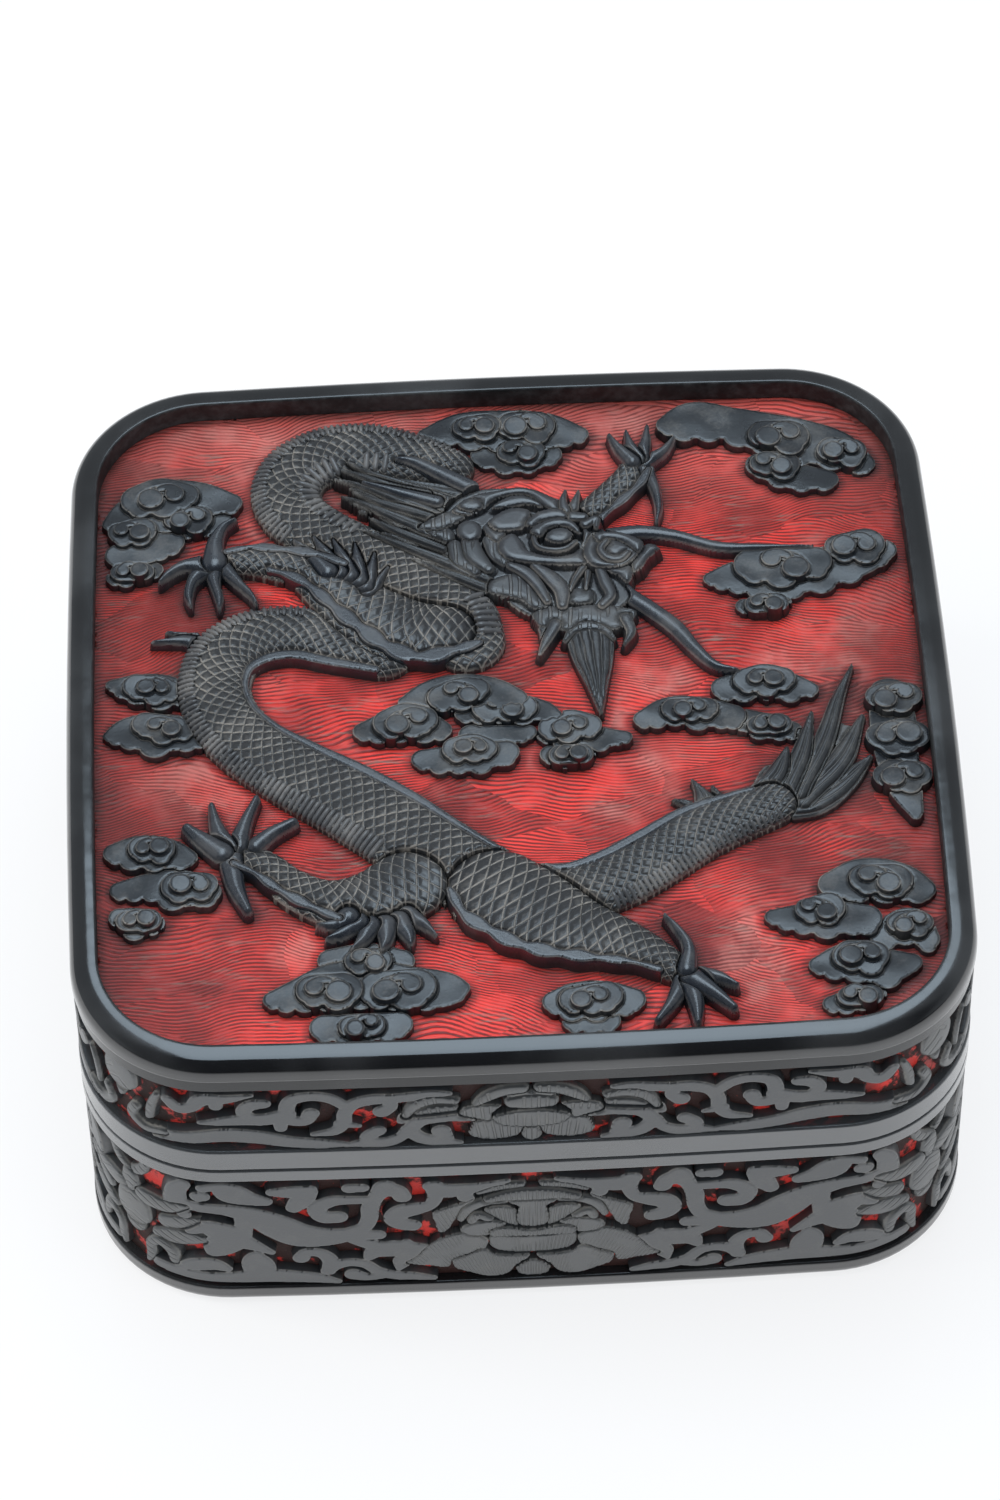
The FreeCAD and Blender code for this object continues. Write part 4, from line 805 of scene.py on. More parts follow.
def scales_in(rows):
    """Overlapping scales in staggered rows along a body: a pale net of rims over sockets kept dark by painted
    shade.
    """
    def pattern(start, where, carve):
        """Height, dust and wear of the scales."""
        run, side = carve.parts()[1:]
        row = side.maths("MAXIMUM", -SIDE_LIMIT).maths("MINIMUM", SIDE_LIMIT).maths("ARCSINE") * rows
        along = run / SCALE_LENGTH
        first = (along + row).maths("FRACT")
        second = (along - row).maths("FRACT")
        far = first.maths("MAXIMUM", second)
        rim = far.ramp(0.80, 0.90) * (1 - far.ramp(0.95, 1.0))
        socket = 1 - first.maths("MINIMUM", second).ramp(0.0, 0.42)
        # painted shade: the sockets take away dust and paleness, so they stay at the bare dark colour
        return rim * 0.9 - socket * 1.2, rim * 0.6 - socket * 0.3, rim * 0.9
    return pattern


def scaled_face(low, rise, rows, lift=0.75):
    """Height of a domed face covered in scales, each rising to its free end."""
    dome = domed_face(low, rise - lift)

    def height(spot):
        """Level of the face at its spots."""
        row = np.arcsin(np.clip(spot.side, -SIDE_LIMIT, SIDE_LIMIT)) * rows
        first = (spot.run / SCALE_LENGTH + row) % 1.0
        second = (spot.run / SCALE_LENGTH - row) % 1.0
        shape = np.sqrt(np.clip(first * second, 0, 1)) * np.clip((1 - np.maximum(first, second)) * 6, 0, 1)
        return dome(spot) + lift * shape * np.clip(spot.depth / 0.8, 0, 1)
    return height


def strands(start, where, carve):
    """Hair or fin rays cut with a veining tool along the stroke."""
    side = carve.parts()[2]
    wave = (side * 15.0 + start.noise(where, 0.2, 1.0) * 3.0).maths("SINE")
    line = wave.ramp(0.55, 0.95)
    return line * -2.0, line * 0.5, line * 0.0


def combing(start, where, carve):
    """Fine veins that spread upwards over the petals of a flower on any side."""
    depth = carve.parts()[0]
    east, north, height = where.parts()
    across = east.maths("ABSOLUTE").maths("MINIMUM", north.maths("ABSOLUTE"))
    spread = across.maths("ARCTAN2", height + 25.0)
    wave = (spread * 330.0 + start.noise(where, 0.1, 1.0) * 5.0).maths("SINE")
    line = wave.ramp(0.1, 0.9) * depth.ramp(0.3, 0.7) * start.noise(where, 0.12, 1.0).ramp(0.38, 0.52)
    return line * -2.4, line * 0.12, line * 0.25


plain_black = black_relief("carved_black", None, (0.017, 0.019, 0.023), ior=1.9)
edge_black = black_relief("edge_black", None, (0.016, 0.020, 0.027), (0.15, 0.145, 0.14), 0.19, 1.85)
cloud_black = black_relief("cloud_black", None, (0.008, 0.011, 0.015), (0.20, 0.185, 0.165), 0.22, 1.75, 11.0)
scale_black = black_relief("scale_black", scales_in(2.4), (0.020, 0.021, 0.023))
limb_black = black_relief("limb_black", scales_in(1.5), (0.016, 0.017, 0.019))
hair_black = black_relief("hair_black", strands, (0.013, 0.015, 0.018), (0.155, 0.15, 0.14), 0.26)
plate_black = black_relief("plate_black", combing, (0.016, 0.018, 0.021), (0.16, 0.155, 0.145), 0.25, 1.9)
petal_black = black_relief("petal_black", combing, (0.036, 0.041, 0.044), (0.17, 0.165, 0.15), 0.28, 1.95)


# The dragon, carved in black lacquer from the piece in front to the piece behind: the lines of
# its pieces as (x, y, half width) or outlines of (x, y), in shares of half the side.

NECK_SHARES = [
    (-0.10, 0.735, 0.050), (-0.20, 0.775, 0.070), (-0.31, 0.80, 0.080), (-0.405, 0.785, 0.083),
    (-0.47, 0.735, 0.083), (-0.49, 0.675, 0.082), (-0.475, 0.615, 0.080), (-0.42, 0.555, 0.078),
    (-0.34, 0.495, 0.078), (-0.24, 0.42, 0.080), (-0.15, 0.34, 0.085), (-0.10, 0.27, 0.090),
    (-0.09, 0.21, 0.090),
]
TRUNK_SHARES = [
    (-0.28, 0.18, 0.070), (-0.38, 0.215, 0.078), (-0.48, 0.245, 0.080), (-0.57, 0.235, 0.083),
    (-0.64, 0.185, 0.084), (-0.665, 0.10, 0.083), (-0.645, 0.01, 0.083), (-0.585, -0.075, 0.086),
    (-0.49, -0.155, 0.092), (-0.38, -0.235, 0.098), (-0.28, -0.315, 0.102), (-0.18, -0.405, 0.104),
    (-0.09, -0.475, 0.100), (0.01, -0.525, 0.090), (0.11, -0.53, 0.080), (0.21, -0.495, 0.078),
    (0.31, -0.435, 0.076), (0.40, -0.375, 0.072), (0.49, -0.335, 0.064), (0.57, -0.305, 0.055),
]
HEAD_SHARES = [
    [(-0.12, 0.60), (-0.05, 0.655), (0.03, 0.66), (0.10, 0.64), (0.17, 0.60), (0.22, 0.54),
     (0.29, 0.47), (0.31, 0.43), (0.27, 0.38), (0.29, 0.31), (0.22, 0.26), (0.10, 0.25),
     (0.02, 0.30), (-0.02, 0.38), (-0.08, 0.46), (-0.13, 0.53)],
]
HORN_SHARES = [
    [(-0.06, 0.655, 0.020), (-0.14, 0.71, 0.017), (-0.20, 0.745, 0.011), (-0.23, 0.75, 0.004)],
    [(-0.14, 0.615, 0.016), (-0.22, 0.645, 0.013), (-0.31, 0.68, 0.005)],
]
MANE_SHARES = [
    [(-0.05, 0.62, 0.040), (-0.16, 0.655, 0.030), (-0.25, 0.690, 0.016), (-0.32, 0.720, 0.003)],
    [(-0.06, 0.57, 0.040), (-0.17, 0.600, 0.032), (-0.26, 0.640, 0.017), (-0.34, 0.672, 0.003)],
    [(-0.07, 0.53, 0.035), (-0.16, 0.545, 0.028), (-0.24, 0.580, 0.015), (-0.32, 0.600, 0.003)],
    [(-0.06, 0.47, 0.035), (-0.13, 0.470, 0.028), (-0.20, 0.500, 0.015), (-0.27, 0.530, 0.003)],
    [(0.00, 0.38, 0.030), (-0.06, 0.390, 0.024), (-0.12, 0.420, 0.013), (-0.18, 0.440, 0.003)],
]
BEARD_SHARES = [
    [(0.19, 0.235, 0.058), (0.195, 0.15, 0.048), (0.20, 0.07, 0.028), (0.205, -0.03, 0.004)],
    [(0.09, 0.26, 0.020), (0.09, 0.20, 0.012), (0.075, 0.145, 0.004)],
    [(0.26, 0.27, 0.020), (0.285, 0.23, 0.012), (0.28, 0.185, 0.004)],
]
WHISKER_SHARES = [
    [(0.24, 0.50, 0.020), (0.33, 0.508, 0.018), (0.40, 0.493, 0.016), (0.50, 0.453, 0.014),
     (0.60, 0.443, 0.010), (0.72, 0.438, 0.003)],
    [(0.25, 0.40, 0.022), (0.28, 0.33, 0.020), (0.335, 0.275, 0.020), (0.39, 0.215, 0.020),
     (0.43, 0.15, 0.016), (0.475, 0.095, 0.011), (0.52, 0.078, 0.004)],
]
LEFT_FORELEG_SHARES = [
    [(-0.14, 0.233, 0.075), (-0.22, 0.235, 0.095), (-0.31, 0.293, 0.088), (-0.38, 0.363, 0.070),
     (-0.44, 0.423, 0.052)],
    [(-0.42, 0.42, 0.052), (-0.50, 0.452, 0.048), (-0.58, 0.472, 0.042), (-0.66, 0.463, 0.034)],
    [(-0.66, 0.463, 0.030), (-0.655, 0.53, 0.018), (-0.635, 0.57, 0.011), (-0.61, 0.585, 0.005)],
    [(-0.68, 0.46, 0.028), (-0.73, 0.455, 0.016), (-0.77, 0.425, 0.010), (-0.785, 0.405, 0.004)],
    [(-0.68, 0.45, 0.026), (-0.71, 0.41, 0.014), (-0.72, 0.36, 0.010), (-0.715, 0.33, 0.004)],
    [(-0.665, 0.45, 0.024), (-0.66, 0.40, 0.013), (-0.65, 0.35, 0.010), (-0.65, 0.32, 0.004)],
    [(-0.64, 0.45, 0.020), (-0.60, 0.39, 0.012), (-0.575, 0.355, 0.008), (-0.565, 0.33, 0.004)],
    [(-0.40, 0.425, 0.026), (-0.44, 0.480, 0.016), (-0.475, 0.515, 0.003)],
    [(-0.375, 0.420, 0.024), (-0.405, 0.480, 0.015), (-0.430, 0.525, 0.003)],
    [(-0.35, 0.410, 0.024), (-0.365, 0.465, 0.015), (-0.385, 0.515, 0.003)],
    [(-0.33, 0.395, 0.024), (-0.33, 0.450, 0.015), (-0.335, 0.500, 0.003)],
    [(-0.315, 0.375, 0.022), (-0.300, 0.420, 0.014), (-0.290, 0.470, 0.003)],
    [(-0.31, 0.355, 0.018), (-0.285, 0.385, 0.012), (-0.260, 0.425, 0.003)],
]
RIGHT_FORELEG_SHARES = [
    [(0.20, 0.56, 0.038), (0.26, 0.62, 0.040), (0.31, 0.68, 0.038), (0.33, 0.72, 0.034)],
    [(0.32, 0.72, 0.020), (0.285, 0.77, 0.012), (0.27, 0.80, 0.005)],
    [(0.33, 0.73, 0.020), (0.315, 0.78, 0.012), (0.31, 0.81, 0.005)],
    [(0.34, 0.73, 0.020), (0.355, 0.79, 0.012), (0.36, 0.825, 0.005)],
    [(0.35, 0.72, 0.020), (0.395, 0.75, 0.013), (0.42, 0.785, 0.005)],
    [(0.35, 0.70, 0.020), (0.37, 0.62, 0.012), (0.372, 0.57, 0.009), (0.365, 0.53, 0.004)],
]
LEFT_HIND_LEG_SHARES = [
    [(-0.63, -0.39, 0.032), (-0.57, -0.417, 0.040), (-0.50, -0.485, 0.048), (-0.42, -0.53, 0.060),
     (-0.33, -0.53, 0.080), (-0.25, -0.49, 0.090)],
    [(-0.655, -0.385, 0.028), (-0.70, -0.345, 0.020), (-0.73, -0.315, 0.013)],
    [(-0.645, -0.37, 0.026), (-0.665, -0.31, 0.017), (-0.675, -0.255, 0.008)],
    [(-0.62, -0.365, 0.024), (-0.60, -0.30, 0.016), (-0.575, -0.24, 0.009)],
    [(-0.58, -0.37, 0.022), (-0.54, -0.335, 0.018), (-0.495, -0.31, 0.013)],
    [(-0.635, -0.40, 0.028), (-0.625, -0.48, 0.020), (-0.60, -0.55, 0.012)],
    [(-0.38, -0.575, 0.026), (-0.42, -0.600, 0.014), (-0.450, -0.600, 0.003)],
    [(-0.36, -0.590, 0.026), (-0.40, -0.625, 0.014), (-0.430, -0.640, 0.003)],
    [(-0.335, -0.600, 0.026), (-0.35, -0.640, 0.015), (-0.375, -0.670, 0.003)],
    [(-0.30, -0.600, 0.026), (-0.30, -0.645, 0.015), (-0.310, -0.675, 0.003)],
    [(-0.27, -0.590, 0.026), (-0.25, -0.635, 0.015), (-0.245, -0.665, 0.003)],
    [(-0.25, -0.575, 0.024), (-0.215, -0.605, 0.014), (-0.190, -0.640, 0.003)],
]
RIGHT_HIND_LEG_SHARES = [
    [(-0.05, -0.52, 0.115), (0.03, -0.58, 0.110), (0.12, -0.64, 0.090), (0.21, -0.675, 0.066),
     (0.28, -0.715, 0.048), (0.34, -0.76, 0.034)],
    [(0.35, -0.76, 0.022), (0.358, -0.70, 0.015), (0.335, -0.65, 0.010), (0.31, -0.615, 0.004)],
    [(0.36, -0.78, 0.026), (0.41, -0.83, 0.017), (0.445, -0.87, 0.011)],
    [(0.355, -0.79, 0.024), (0.365, -0.86, 0.016), (0.365, -0.905, 0.009)],
    [(0.34, -0.79, 0.022), (0.31, -0.85, 0.015), (0.28, -0.895, 0.009)],
    [(0.37, -0.77, 0.020), (0.42, -0.785, 0.015), (0.455, -0.81, 0.007)],
]
TAIL_FIN_SHARES = [
    [(0.54, -0.28, 0.028), (0.585, -0.225, 0.026), (0.615, -0.155, 0.006)],
    [(0.60, -0.27, 0.030), (0.645, -0.17, 0.024), (0.677, -0.055, 0.005)],
    [(0.63, -0.27, 0.030), (0.70, -0.13, 0.024), (0.745, 0.0, 0.014), (0.78, 0.08, 0.003)],
    [(0.64, -0.29, 0.034), (0.73, -0.19, 0.030), (0.79, -0.07, 0.007)],
    [(0.58, -0.31, 0.040), (0.66, -0.30, 0.040), (0.74, -0.245, 0.028), (0.80, -0.185, 0.005)],
    [(0.43, -0.31, 0.034), (0.415, -0.265, 0.016), (0.397, -0.232, 0.003)],
    [(0.46, -0.31, 0.030), (0.450, -0.275, 0.014), (0.440, -0.250, 0.003)],
    [(0.40, -0.32, 0.026), (0.380, -0.295, 0.012), (0.352, -0.285, 0.003)],
]


def lay(carving, drawings, face, covered, finish=0):
    """Lay strokes and petals as one plate on the lid, behind what covers it."""
    board = drawn(drawings)
    carving.plate(board, face, finish, behind(board, covered))
    return board


def stepped(carving, drawings, face, covered, finish=0, step=0.08):
    """Lay drawings one by one, each a little lower than the one before it and behind it."""
    for order, drawing in enumerate(drawings):
        board = lay(carving, [drawing], lambda spot: face(spot) - step * order, covered, finish)
        cover(covered, board)


# Head of the dragon, carved highest of all: nose with curled nostrils, a lip band that sweeps
# under the bulging eye, brows and skull behind it, ears and combed cheeks, and open jaws below.
# Each form is cut from the front one back: its height in millimetres, then its outline or stroke.

HEAD_DRIFT = -1.9
HEAD_GROOVE = 0.1
HEAD_DRAFT = 0.25
SMOOTH_FORMS_SHARES = [
    (0.0500, [(0.245, 0.485, 0.007), (0.230, 0.462, 0.009), (0.243, 0.436, 0.010),
              (0.272, 0.430, 0.010), (0.292, 0.447, 0.007)]),
    (0.0495, [(0.105, 0.500), (0.118, 0.525), (0.150, 0.530), (0.168, 0.513), (0.160, 0.493),
              (0.132, 0.485)]),
    (0.0485, [(0.215, 0.505), (0.260, 0.515), (0.300, 0.502), (0.330, 0.475), (0.315, 0.448), (0.300, 0.462),
              (0.285, 0.478), (0.250, 0.492), (0.225, 0.485)]),
    (0.0480, [(0.070, 0.525), (0.098, 0.552), (0.140, 0.562), (0.175, 0.548), (0.184, 0.512), (0.172, 0.520),
              (0.150, 0.537), (0.115, 0.532), (0.092, 0.508)]),
    (0.0475, [(0.190, 0.450), (0.200, 0.490), (0.215, 0.515), (0.260, 0.505), (0.300, 0.490), (0.318, 0.455),
              (0.290, 0.418), (0.250, 0.408), (0.205, 0.418)]),
    (0.0460, [(0.062, 0.545), (0.080, 0.578), (0.110, 0.593), (0.150, 0.588), (0.160, 0.566), (0.130, 0.560),
              (0.098, 0.556), (0.080, 0.540)]),
    (0.0455, [(0.078, 0.508, 0.006), (0.086, 0.482, 0.007), (0.115, 0.469, 0.007), (0.150, 0.471, 0.007),
              (0.174, 0.490, 0.006)]),
    (0.0450, [(-0.025, 0.560), (0.000, 0.588), (0.040, 0.603), (0.073, 0.592), (0.070, 0.562), (0.055, 0.540),
              (0.020, 0.534), (-0.010, 0.538)]),
    (0.0440, [(0.000, 0.505), (0.030, 0.525), (0.048, 0.505), (0.058, 0.478), (0.090, 0.458), (0.140, 0.450),
              (0.180, 0.466), (0.192, 0.495), (0.195, 0.530), (0.215, 0.512), (0.212, 0.450), (0.195, 0.425),
              (0.160, 0.422), (0.100, 0.428), (0.050, 0.437), (0.010, 0.452), (-0.005, 0.478)]),
    (0.0445, [(-0.015, 0.605), (0.010, 0.630), (0.050, 0.642), (0.085, 0.627), (0.105, 0.603), (0.060, 0.611),
              (0.030, 0.606)]),
    (0.0430, [(-0.092, 0.615), (-0.075, 0.638), (-0.042, 0.632), (-0.035, 0.610), (-0.065, 0.600)]),
    (0.0425, [(0.325, 0.470), (0.345, 0.478), (0.367, 0.462), (0.350, 0.446), (0.335, 0.428), (0.320, 0.405),
              (0.303, 0.395), (0.300, 0.420), (0.318, 0.448)]),
    (0.0420, [(-0.092, 0.562), (-0.060, 0.572), (-0.042, 0.550), (-0.048, 0.518), (-0.070, 0.508),
              (-0.097, 0.530)]),
    (0.0415, [(-0.037, 0.555), (-0.012, 0.558), (0.010, 0.535), (0.014, 0.503), (-0.010, 0.503),
              (-0.032, 0.530)]),
    (0.0420, [(0.155, 0.590, 0.013), (0.151, 0.620, 0.009), (0.158, 0.650, 0.003)]),
    (0.0415, [(0.174, 0.598, 0.013), (0.182, 0.625, 0.008), (0.189, 0.648, 0.003)]),
    (0.0425, [(0.170, 0.572, 0.015), (0.196, 0.568, 0.012)]),
    (0.0420, [(0.200, 0.548, 0.014), (0.226, 0.560, 0.009), (0.224, 0.535, 0.006)]),
    (0.0405, [(0.235, 0.440), (0.260, 0.430), (0.292, 0.420), (0.302, 0.398), (0.285, 0.365), (0.268, 0.385),
              (0.245, 0.402)]),
    (0.0410, [(0.020, 0.430, 0.010), (0.050, 0.412, 0.015), (0.080, 0.370, 0.014),
              (0.100, 0.318, 0.009)]),
    (0.0400, [(0.075, 0.428, 0.009), (0.110, 0.392, 0.018), (0.134, 0.350, 0.018), (0.134, 0.306, 0.012)]),
    (0.0395, [(-0.105, 0.600), (-0.060, 0.648), (0.000, 0.663), (0.060, 0.670), (0.112, 0.647),
              (0.150, 0.612), (0.158, 0.585), (0.120, 0.598), (0.060, 0.648), (0.000, 0.637),
              (-0.050, 0.598), (-0.080, 0.590)]),
    (0.0390, [(0.225, 0.410, 0.011), (0.236, 0.370, 0.014), (0.245, 0.330, 0.012), (0.225, 0.302, 0.010)]),
    (0.0370, [(0.187, 0.420, 0.009), (0.166, 0.382, 0.006), (0.152, 0.345, 0.003)]),
    (0.0360, [(0.198, 0.405, 0.007), (0.190, 0.352, 0.003)]),
    (0.0350, [(0.115, 0.252, 0.014), (0.095, 0.212, 0.012), (0.075, 0.165, 0.004)]),
    (0.0350, [(0.277, 0.262, 0.014), (0.286, 0.222, 0.011), (0.270, 0.185, 0.004)]),
]
COMBED_FORMS_SHARES = [
    (0.0400, [(-0.188, 0.555), (-0.150, 0.588), (-0.100, 0.603), (-0.078, 0.586), (-0.110, 0.560),
              (-0.150, 0.548)]),
    (0.0385, [(-0.168, 0.545), (-0.130, 0.558), (-0.103, 0.540), (-0.112, 0.512), (-0.142, 0.522)]),
    (0.0395, [(-0.070, 0.512, 0.020), (-0.060, 0.470, 0.023), (-0.030, 0.425, 0.014)]),
    (0.0385, [(-0.020, 0.510, 0.020), (-0.005, 0.470, 0.022), (0.010, 0.440, 0.012)]),
    (0.0380, [(-0.105, 0.500, 0.017), (-0.098, 0.460, 0.018), (-0.060, 0.418, 0.012)]),
    (0.0375, [(0.000, 0.402), (0.040, 0.408), (0.072, 0.362), (0.098, 0.305), (0.070, 0.300), (0.040, 0.328),
              (0.000, 0.342), (-0.035, 0.358), (-0.030, 0.385)]),
    (0.0365, [(0.148, 0.348), (0.204, 0.348), (0.204, 0.318), (0.148, 0.318)]),
    (0.0345, [(0.065, 0.285), (0.100, 0.308), (0.150, 0.302), (0.200, 0.308), (0.260, 0.298), (0.302, 0.282),
              (0.285, 0.250), (0.240, 0.232), (0.220, 0.245), (0.180, 0.257), (0.140, 0.232), (0.110, 0.245),
              (0.080, 0.250)]),
    (0.0330, [(0.135, 0.205, 0.006), (0.155, 0.235, 0.012), (0.190, 0.250, 0.017), (0.225, 0.235, 0.012),
              (0.245, 0.205, 0.006)]),
]


head = Carving()
covered = in_front.copy()
for finish, forms in ((0, SMOOTH_FORMS_SHARES), (1, COMBED_FORMS_SHARES)):
    for rise, outline in forms:
        drawing = [(point[0], point[1] + HEAD_DRIFT, *point[2:]) for point in shares([outline])[0]]
        board = drawn([drawing])
        head.plate(board, pillowed_face(rise * HALF_SIDE, 0.55, 1.6, 0.3), finish,
                   behind(board, covered, HEAD_GROOVE), HEAD_DRAFT)
        cover(covered, board)
base = lay(head, shares(HEAD_SHARES), flat_face(2.4), covered)
cover(covered, base)
in_front[:] = covered
carved_piece(head, "dragon_head", [plain_black, plate_black], on_lid, "lid")


# Horns, mane, beard and whiskers: long locks that sweep back from the head, each cut into
# strands with a veining tool, and the two whiskers that wave in front of it.

FIRST_LOCKS_SHARES = [
    [(-0.16, 0.640, 0.010), (-0.24, 0.664, 0.012), (-0.31, 0.700, 0.008), (-0.36, 0.722, 0.002)],
    [(-0.06, 0.585, 0.015), (-0.13, 0.622, 0.018), (-0.22, 0.672, 0.014), (-0.29, 0.708, 0.008),
     (-0.345, 0.748, 0.002)],
    [(-0.14, 0.560, 0.010), (-0.20, 0.588, 0.013), (-0.27, 0.618, 0.010), (-0.335, 0.655, 0.002)],
    [(-0.10, 0.540, 0.015), (-0.17, 0.590, 0.018), (-0.25, 0.640, 0.014), (-0.31, 0.672, 0.008),
     (-0.375, 0.696, 0.002)],
    [(-0.12, 0.500, 0.014), (-0.19, 0.545, 0.017), (-0.26, 0.587, 0.013), (-0.31, 0.618, 0.007),
     (-0.36, 0.642, 0.002)],
    [(-0.13, 0.470, 0.010), (-0.19, 0.505, 0.012), (-0.25, 0.540, 0.009), (-0.30, 0.575, 0.002)],
    [(-0.08, 0.432, 0.013), (-0.15, 0.488, 0.017), (-0.22, 0.545, 0.014), (-0.28, 0.590, 0.008),
     (-0.345, 0.627, 0.002)],
    [(-0.03, 0.372, 0.012), (-0.11, 0.424, 0.016), (-0.18, 0.463, 0.013), (-0.25, 0.502, 0.008),
     (-0.31, 0.536, 0.002)],
    [(0.035, 0.313, 0.010), (-0.04, 0.351, 0.014), (-0.10, 0.385, 0.012), (-0.15, 0.412, 0.007),
     (-0.20, 0.442, 0.002)],
]
LOCKS = [
    ("dragon_horns", HORN_SHARES, domed_face(3.6, 4.7), edge_black, []),
    ("dragon_mane", FIRST_LOCKS_SHARES, combed_face(3.3, 4.6, 2.2), hair_black, MANE_SHARES),
    ("dragon_beard", BEARD_SHARES, combed_face(2.2, 3.5, 4.5, 0.6), hair_black, []),
    ("dragon_whiskers", WHISKER_SHARES, domed_face(2.2, 3.4), edge_black, []),
]
for name, drawings, face, finish, rest in LOCKS:
    carving = Carving()
    covered = in_front.copy()
    stepped(carving, shares(drawings), face, covered)
    if rest:
        lay(carving, shares(rest), combed_face(2.3, 3.6, 3.4, 0.6), covered)
    cover(in_front, drawn(shares(drawings + rest)))
    carved_piece(carving, name, [finish], on_lid, "lid")


# Legs: scaled and rounded, with a smooth rim along the hind edge, tufts at the elbow and
# long hooked claws. Each is one thickness of lacquer, highest along its middle.


def ribbon(drawing):
    """A flat ribbon along a stroke, with a gently waving edge."""
    line, length = flowing(drawing)
    return [(x, y, width * (1.5 + 0.4 * math.sin(0.75 * run)))
            for (x, y, width), run in zip(line[::5], length[::5])]


LEFT_FORELEG_RIMS_SHARES = [
    [(-0.06, 0.185, 0.005), (-0.12, 0.165, 0.010), (-0.20, 0.150, 0.011), (-0.27, 0.185, 0.012),
     (-0.33, 0.245, 0.011), (-0.38, 0.300, 0.010), (-0.42, 0.350, 0.008), (-0.47, 0.400, 0.007),
     (-0.54, 0.432, 0.005)],
    [(-0.36, 0.440, 0.005), (-0.42, 0.470, 0.007), (-0.50, 0.490, 0.007), (-0.58, 0.500, 0.006),
     (-0.64, 0.488, 0.004)],
]
RIGHT_HIND_RIMS_SHARES = [
    [(-0.155, -0.52, 0.005), (-0.125, -0.59, 0.009), (-0.08, -0.63, 0.010), (-0.02, -0.672, 0.010),
     (0.05, -0.700, 0.010), (0.14, -0.720, 0.008), (0.23, -0.738, 0.005), (0.30, -0.765, 0.004)],
]
LEFT_HIND_RIMS_SHARES = [
    [(-0.40, -0.585, 0.005), (-0.46, -0.550, 0.007), (-0.53, -0.500, 0.007), (-0.59, -0.445, 0.005),
     (-0.63, -0.420, 0.004)],
]
RIGHT_FORE_RIMS_SHARES = [
    [(0.215, 0.525, 0.004), (0.28, 0.59, 0.006), (0.335, 0.65, 0.006), (0.36, 0.70, 0.004)],
]
# name, strokes, how many of them are the scaled limb, rims
LIMBS = [
    ("dragon_left_foreleg", LEFT_FORELEG_SHARES, 2, LEFT_FORELEG_RIMS_SHARES),
    ("dragon_right_foreleg", RIGHT_FORELEG_SHARES, 1, RIGHT_FORE_RIMS_SHARES),
    ("dragon_left_hind_leg", LEFT_HIND_LEG_SHARES, 1, LEFT_HIND_RIMS_SHARES),
    ("dragon_right_hind_leg", RIGHT_HIND_LEG_SHARES, 1, RIGHT_HIND_RIMS_SHARES),
]
for name, drawings, scaled, rims in LIMBS:
    carving = Carving()
    covered = in_front.copy()
    stepped(carving, [ribbon(rim) for rim in shares(rims)], flat_face(3.8, 0.3), covered, 1, 0.05)
    stepped(carving, shares(drawings[scaled:]), domed_face(2.4, 4.3), covered, 1, 0.06)
    cover(covered, lay(carving, shares(drawings[:scaled]), scaled_face(1.8, 4.4, 1.5, 0.5), covered))
    in_front[:] = covered
    carved_piece(carving, name, [limb_black, edge_black], on_lid, "lid")


# Body: one long domed thickness of black lacquer covered in overlapping scales. Broad ribs cross
# its belly edge, fin rays and flame-like spines follow its back, each cut by hand at an even pace.


def path_tree():
    """Nodes that set copies of a unit along a path, and the identifiers of their inputs."""
    tree = bpy.data.node_groups.new("along_path", "GeometryNodeTree")
    inputs = {}
    for label, kind in (("Path", "NodeSocketGeometry"), ("Pitch", "NodeSocketFloat"),
                        ("Unit", "NodeSocketObject"), ("Finish", "NodeSocketMaterial")):
        inputs[label] = tree.interface.new_socket(name=label, in_out="INPUT", socket_type=kind).identifier
    tree.interface.new_socket(name="Copies", in_out="OUTPUT", socket_type="NodeSocketGeometry")
    start = Finish(tree)
    given = tree.nodes.new("NodeGroupInput")
    path, pitch, unit, finish = [Finish(tree, given.outputs[label]) for label in inputs]
    curve = start.node("GeometryNodeMeshToCurve", None, {"Mesh": path})
    even = start.node("GeometryNodeResampleCurve", {"mode": "LENGTH"}, {"Curve": curve, "Length": pitch})
    tangent = start.node("GeometryNodeInputTangent")
    up = start.node("GeometryNodeInputNamedAttribute", {"data_type": "FLOAT_VECTOR"}, {"Name": "up"})
    size = start.node("GeometryNodeInputNamedAttribute", {"data_type": "FLOAT"}, {"Name": "size"})
    turn = start.node("FunctionNodeAlignRotationToVector", {"axis": "X"}, {"Vector": tangent})
    turn = start.node("FunctionNodeAlignRotationToVector", {"axis": "Z", "pivot_axis": "X"},
                      {"Rotation": turn, "Vector": up})
    model = start.node("GeometryNodeObjectInfo", None, {"Object": unit}, "Geometry")
    copies = start.node("GeometryNodeInstanceOnPoints", None,
                        {"Points": even, "Instance": model, "Rotation": turn, "Scale": size})
    solid = start.node("GeometryNodeRealizeInstances", None, {"Geometry": copies})
    dressed = start.node("GeometryNodeSetMaterial", None, {"Geometry": solid, "Material": finish})
    leaving = tree.nodes.new("NodeGroupOutput")
    tree.links.new(dressed.socket, leaving.inputs["Copies"])
    return tree, inputs


along_path, path_inputs = path_tree()


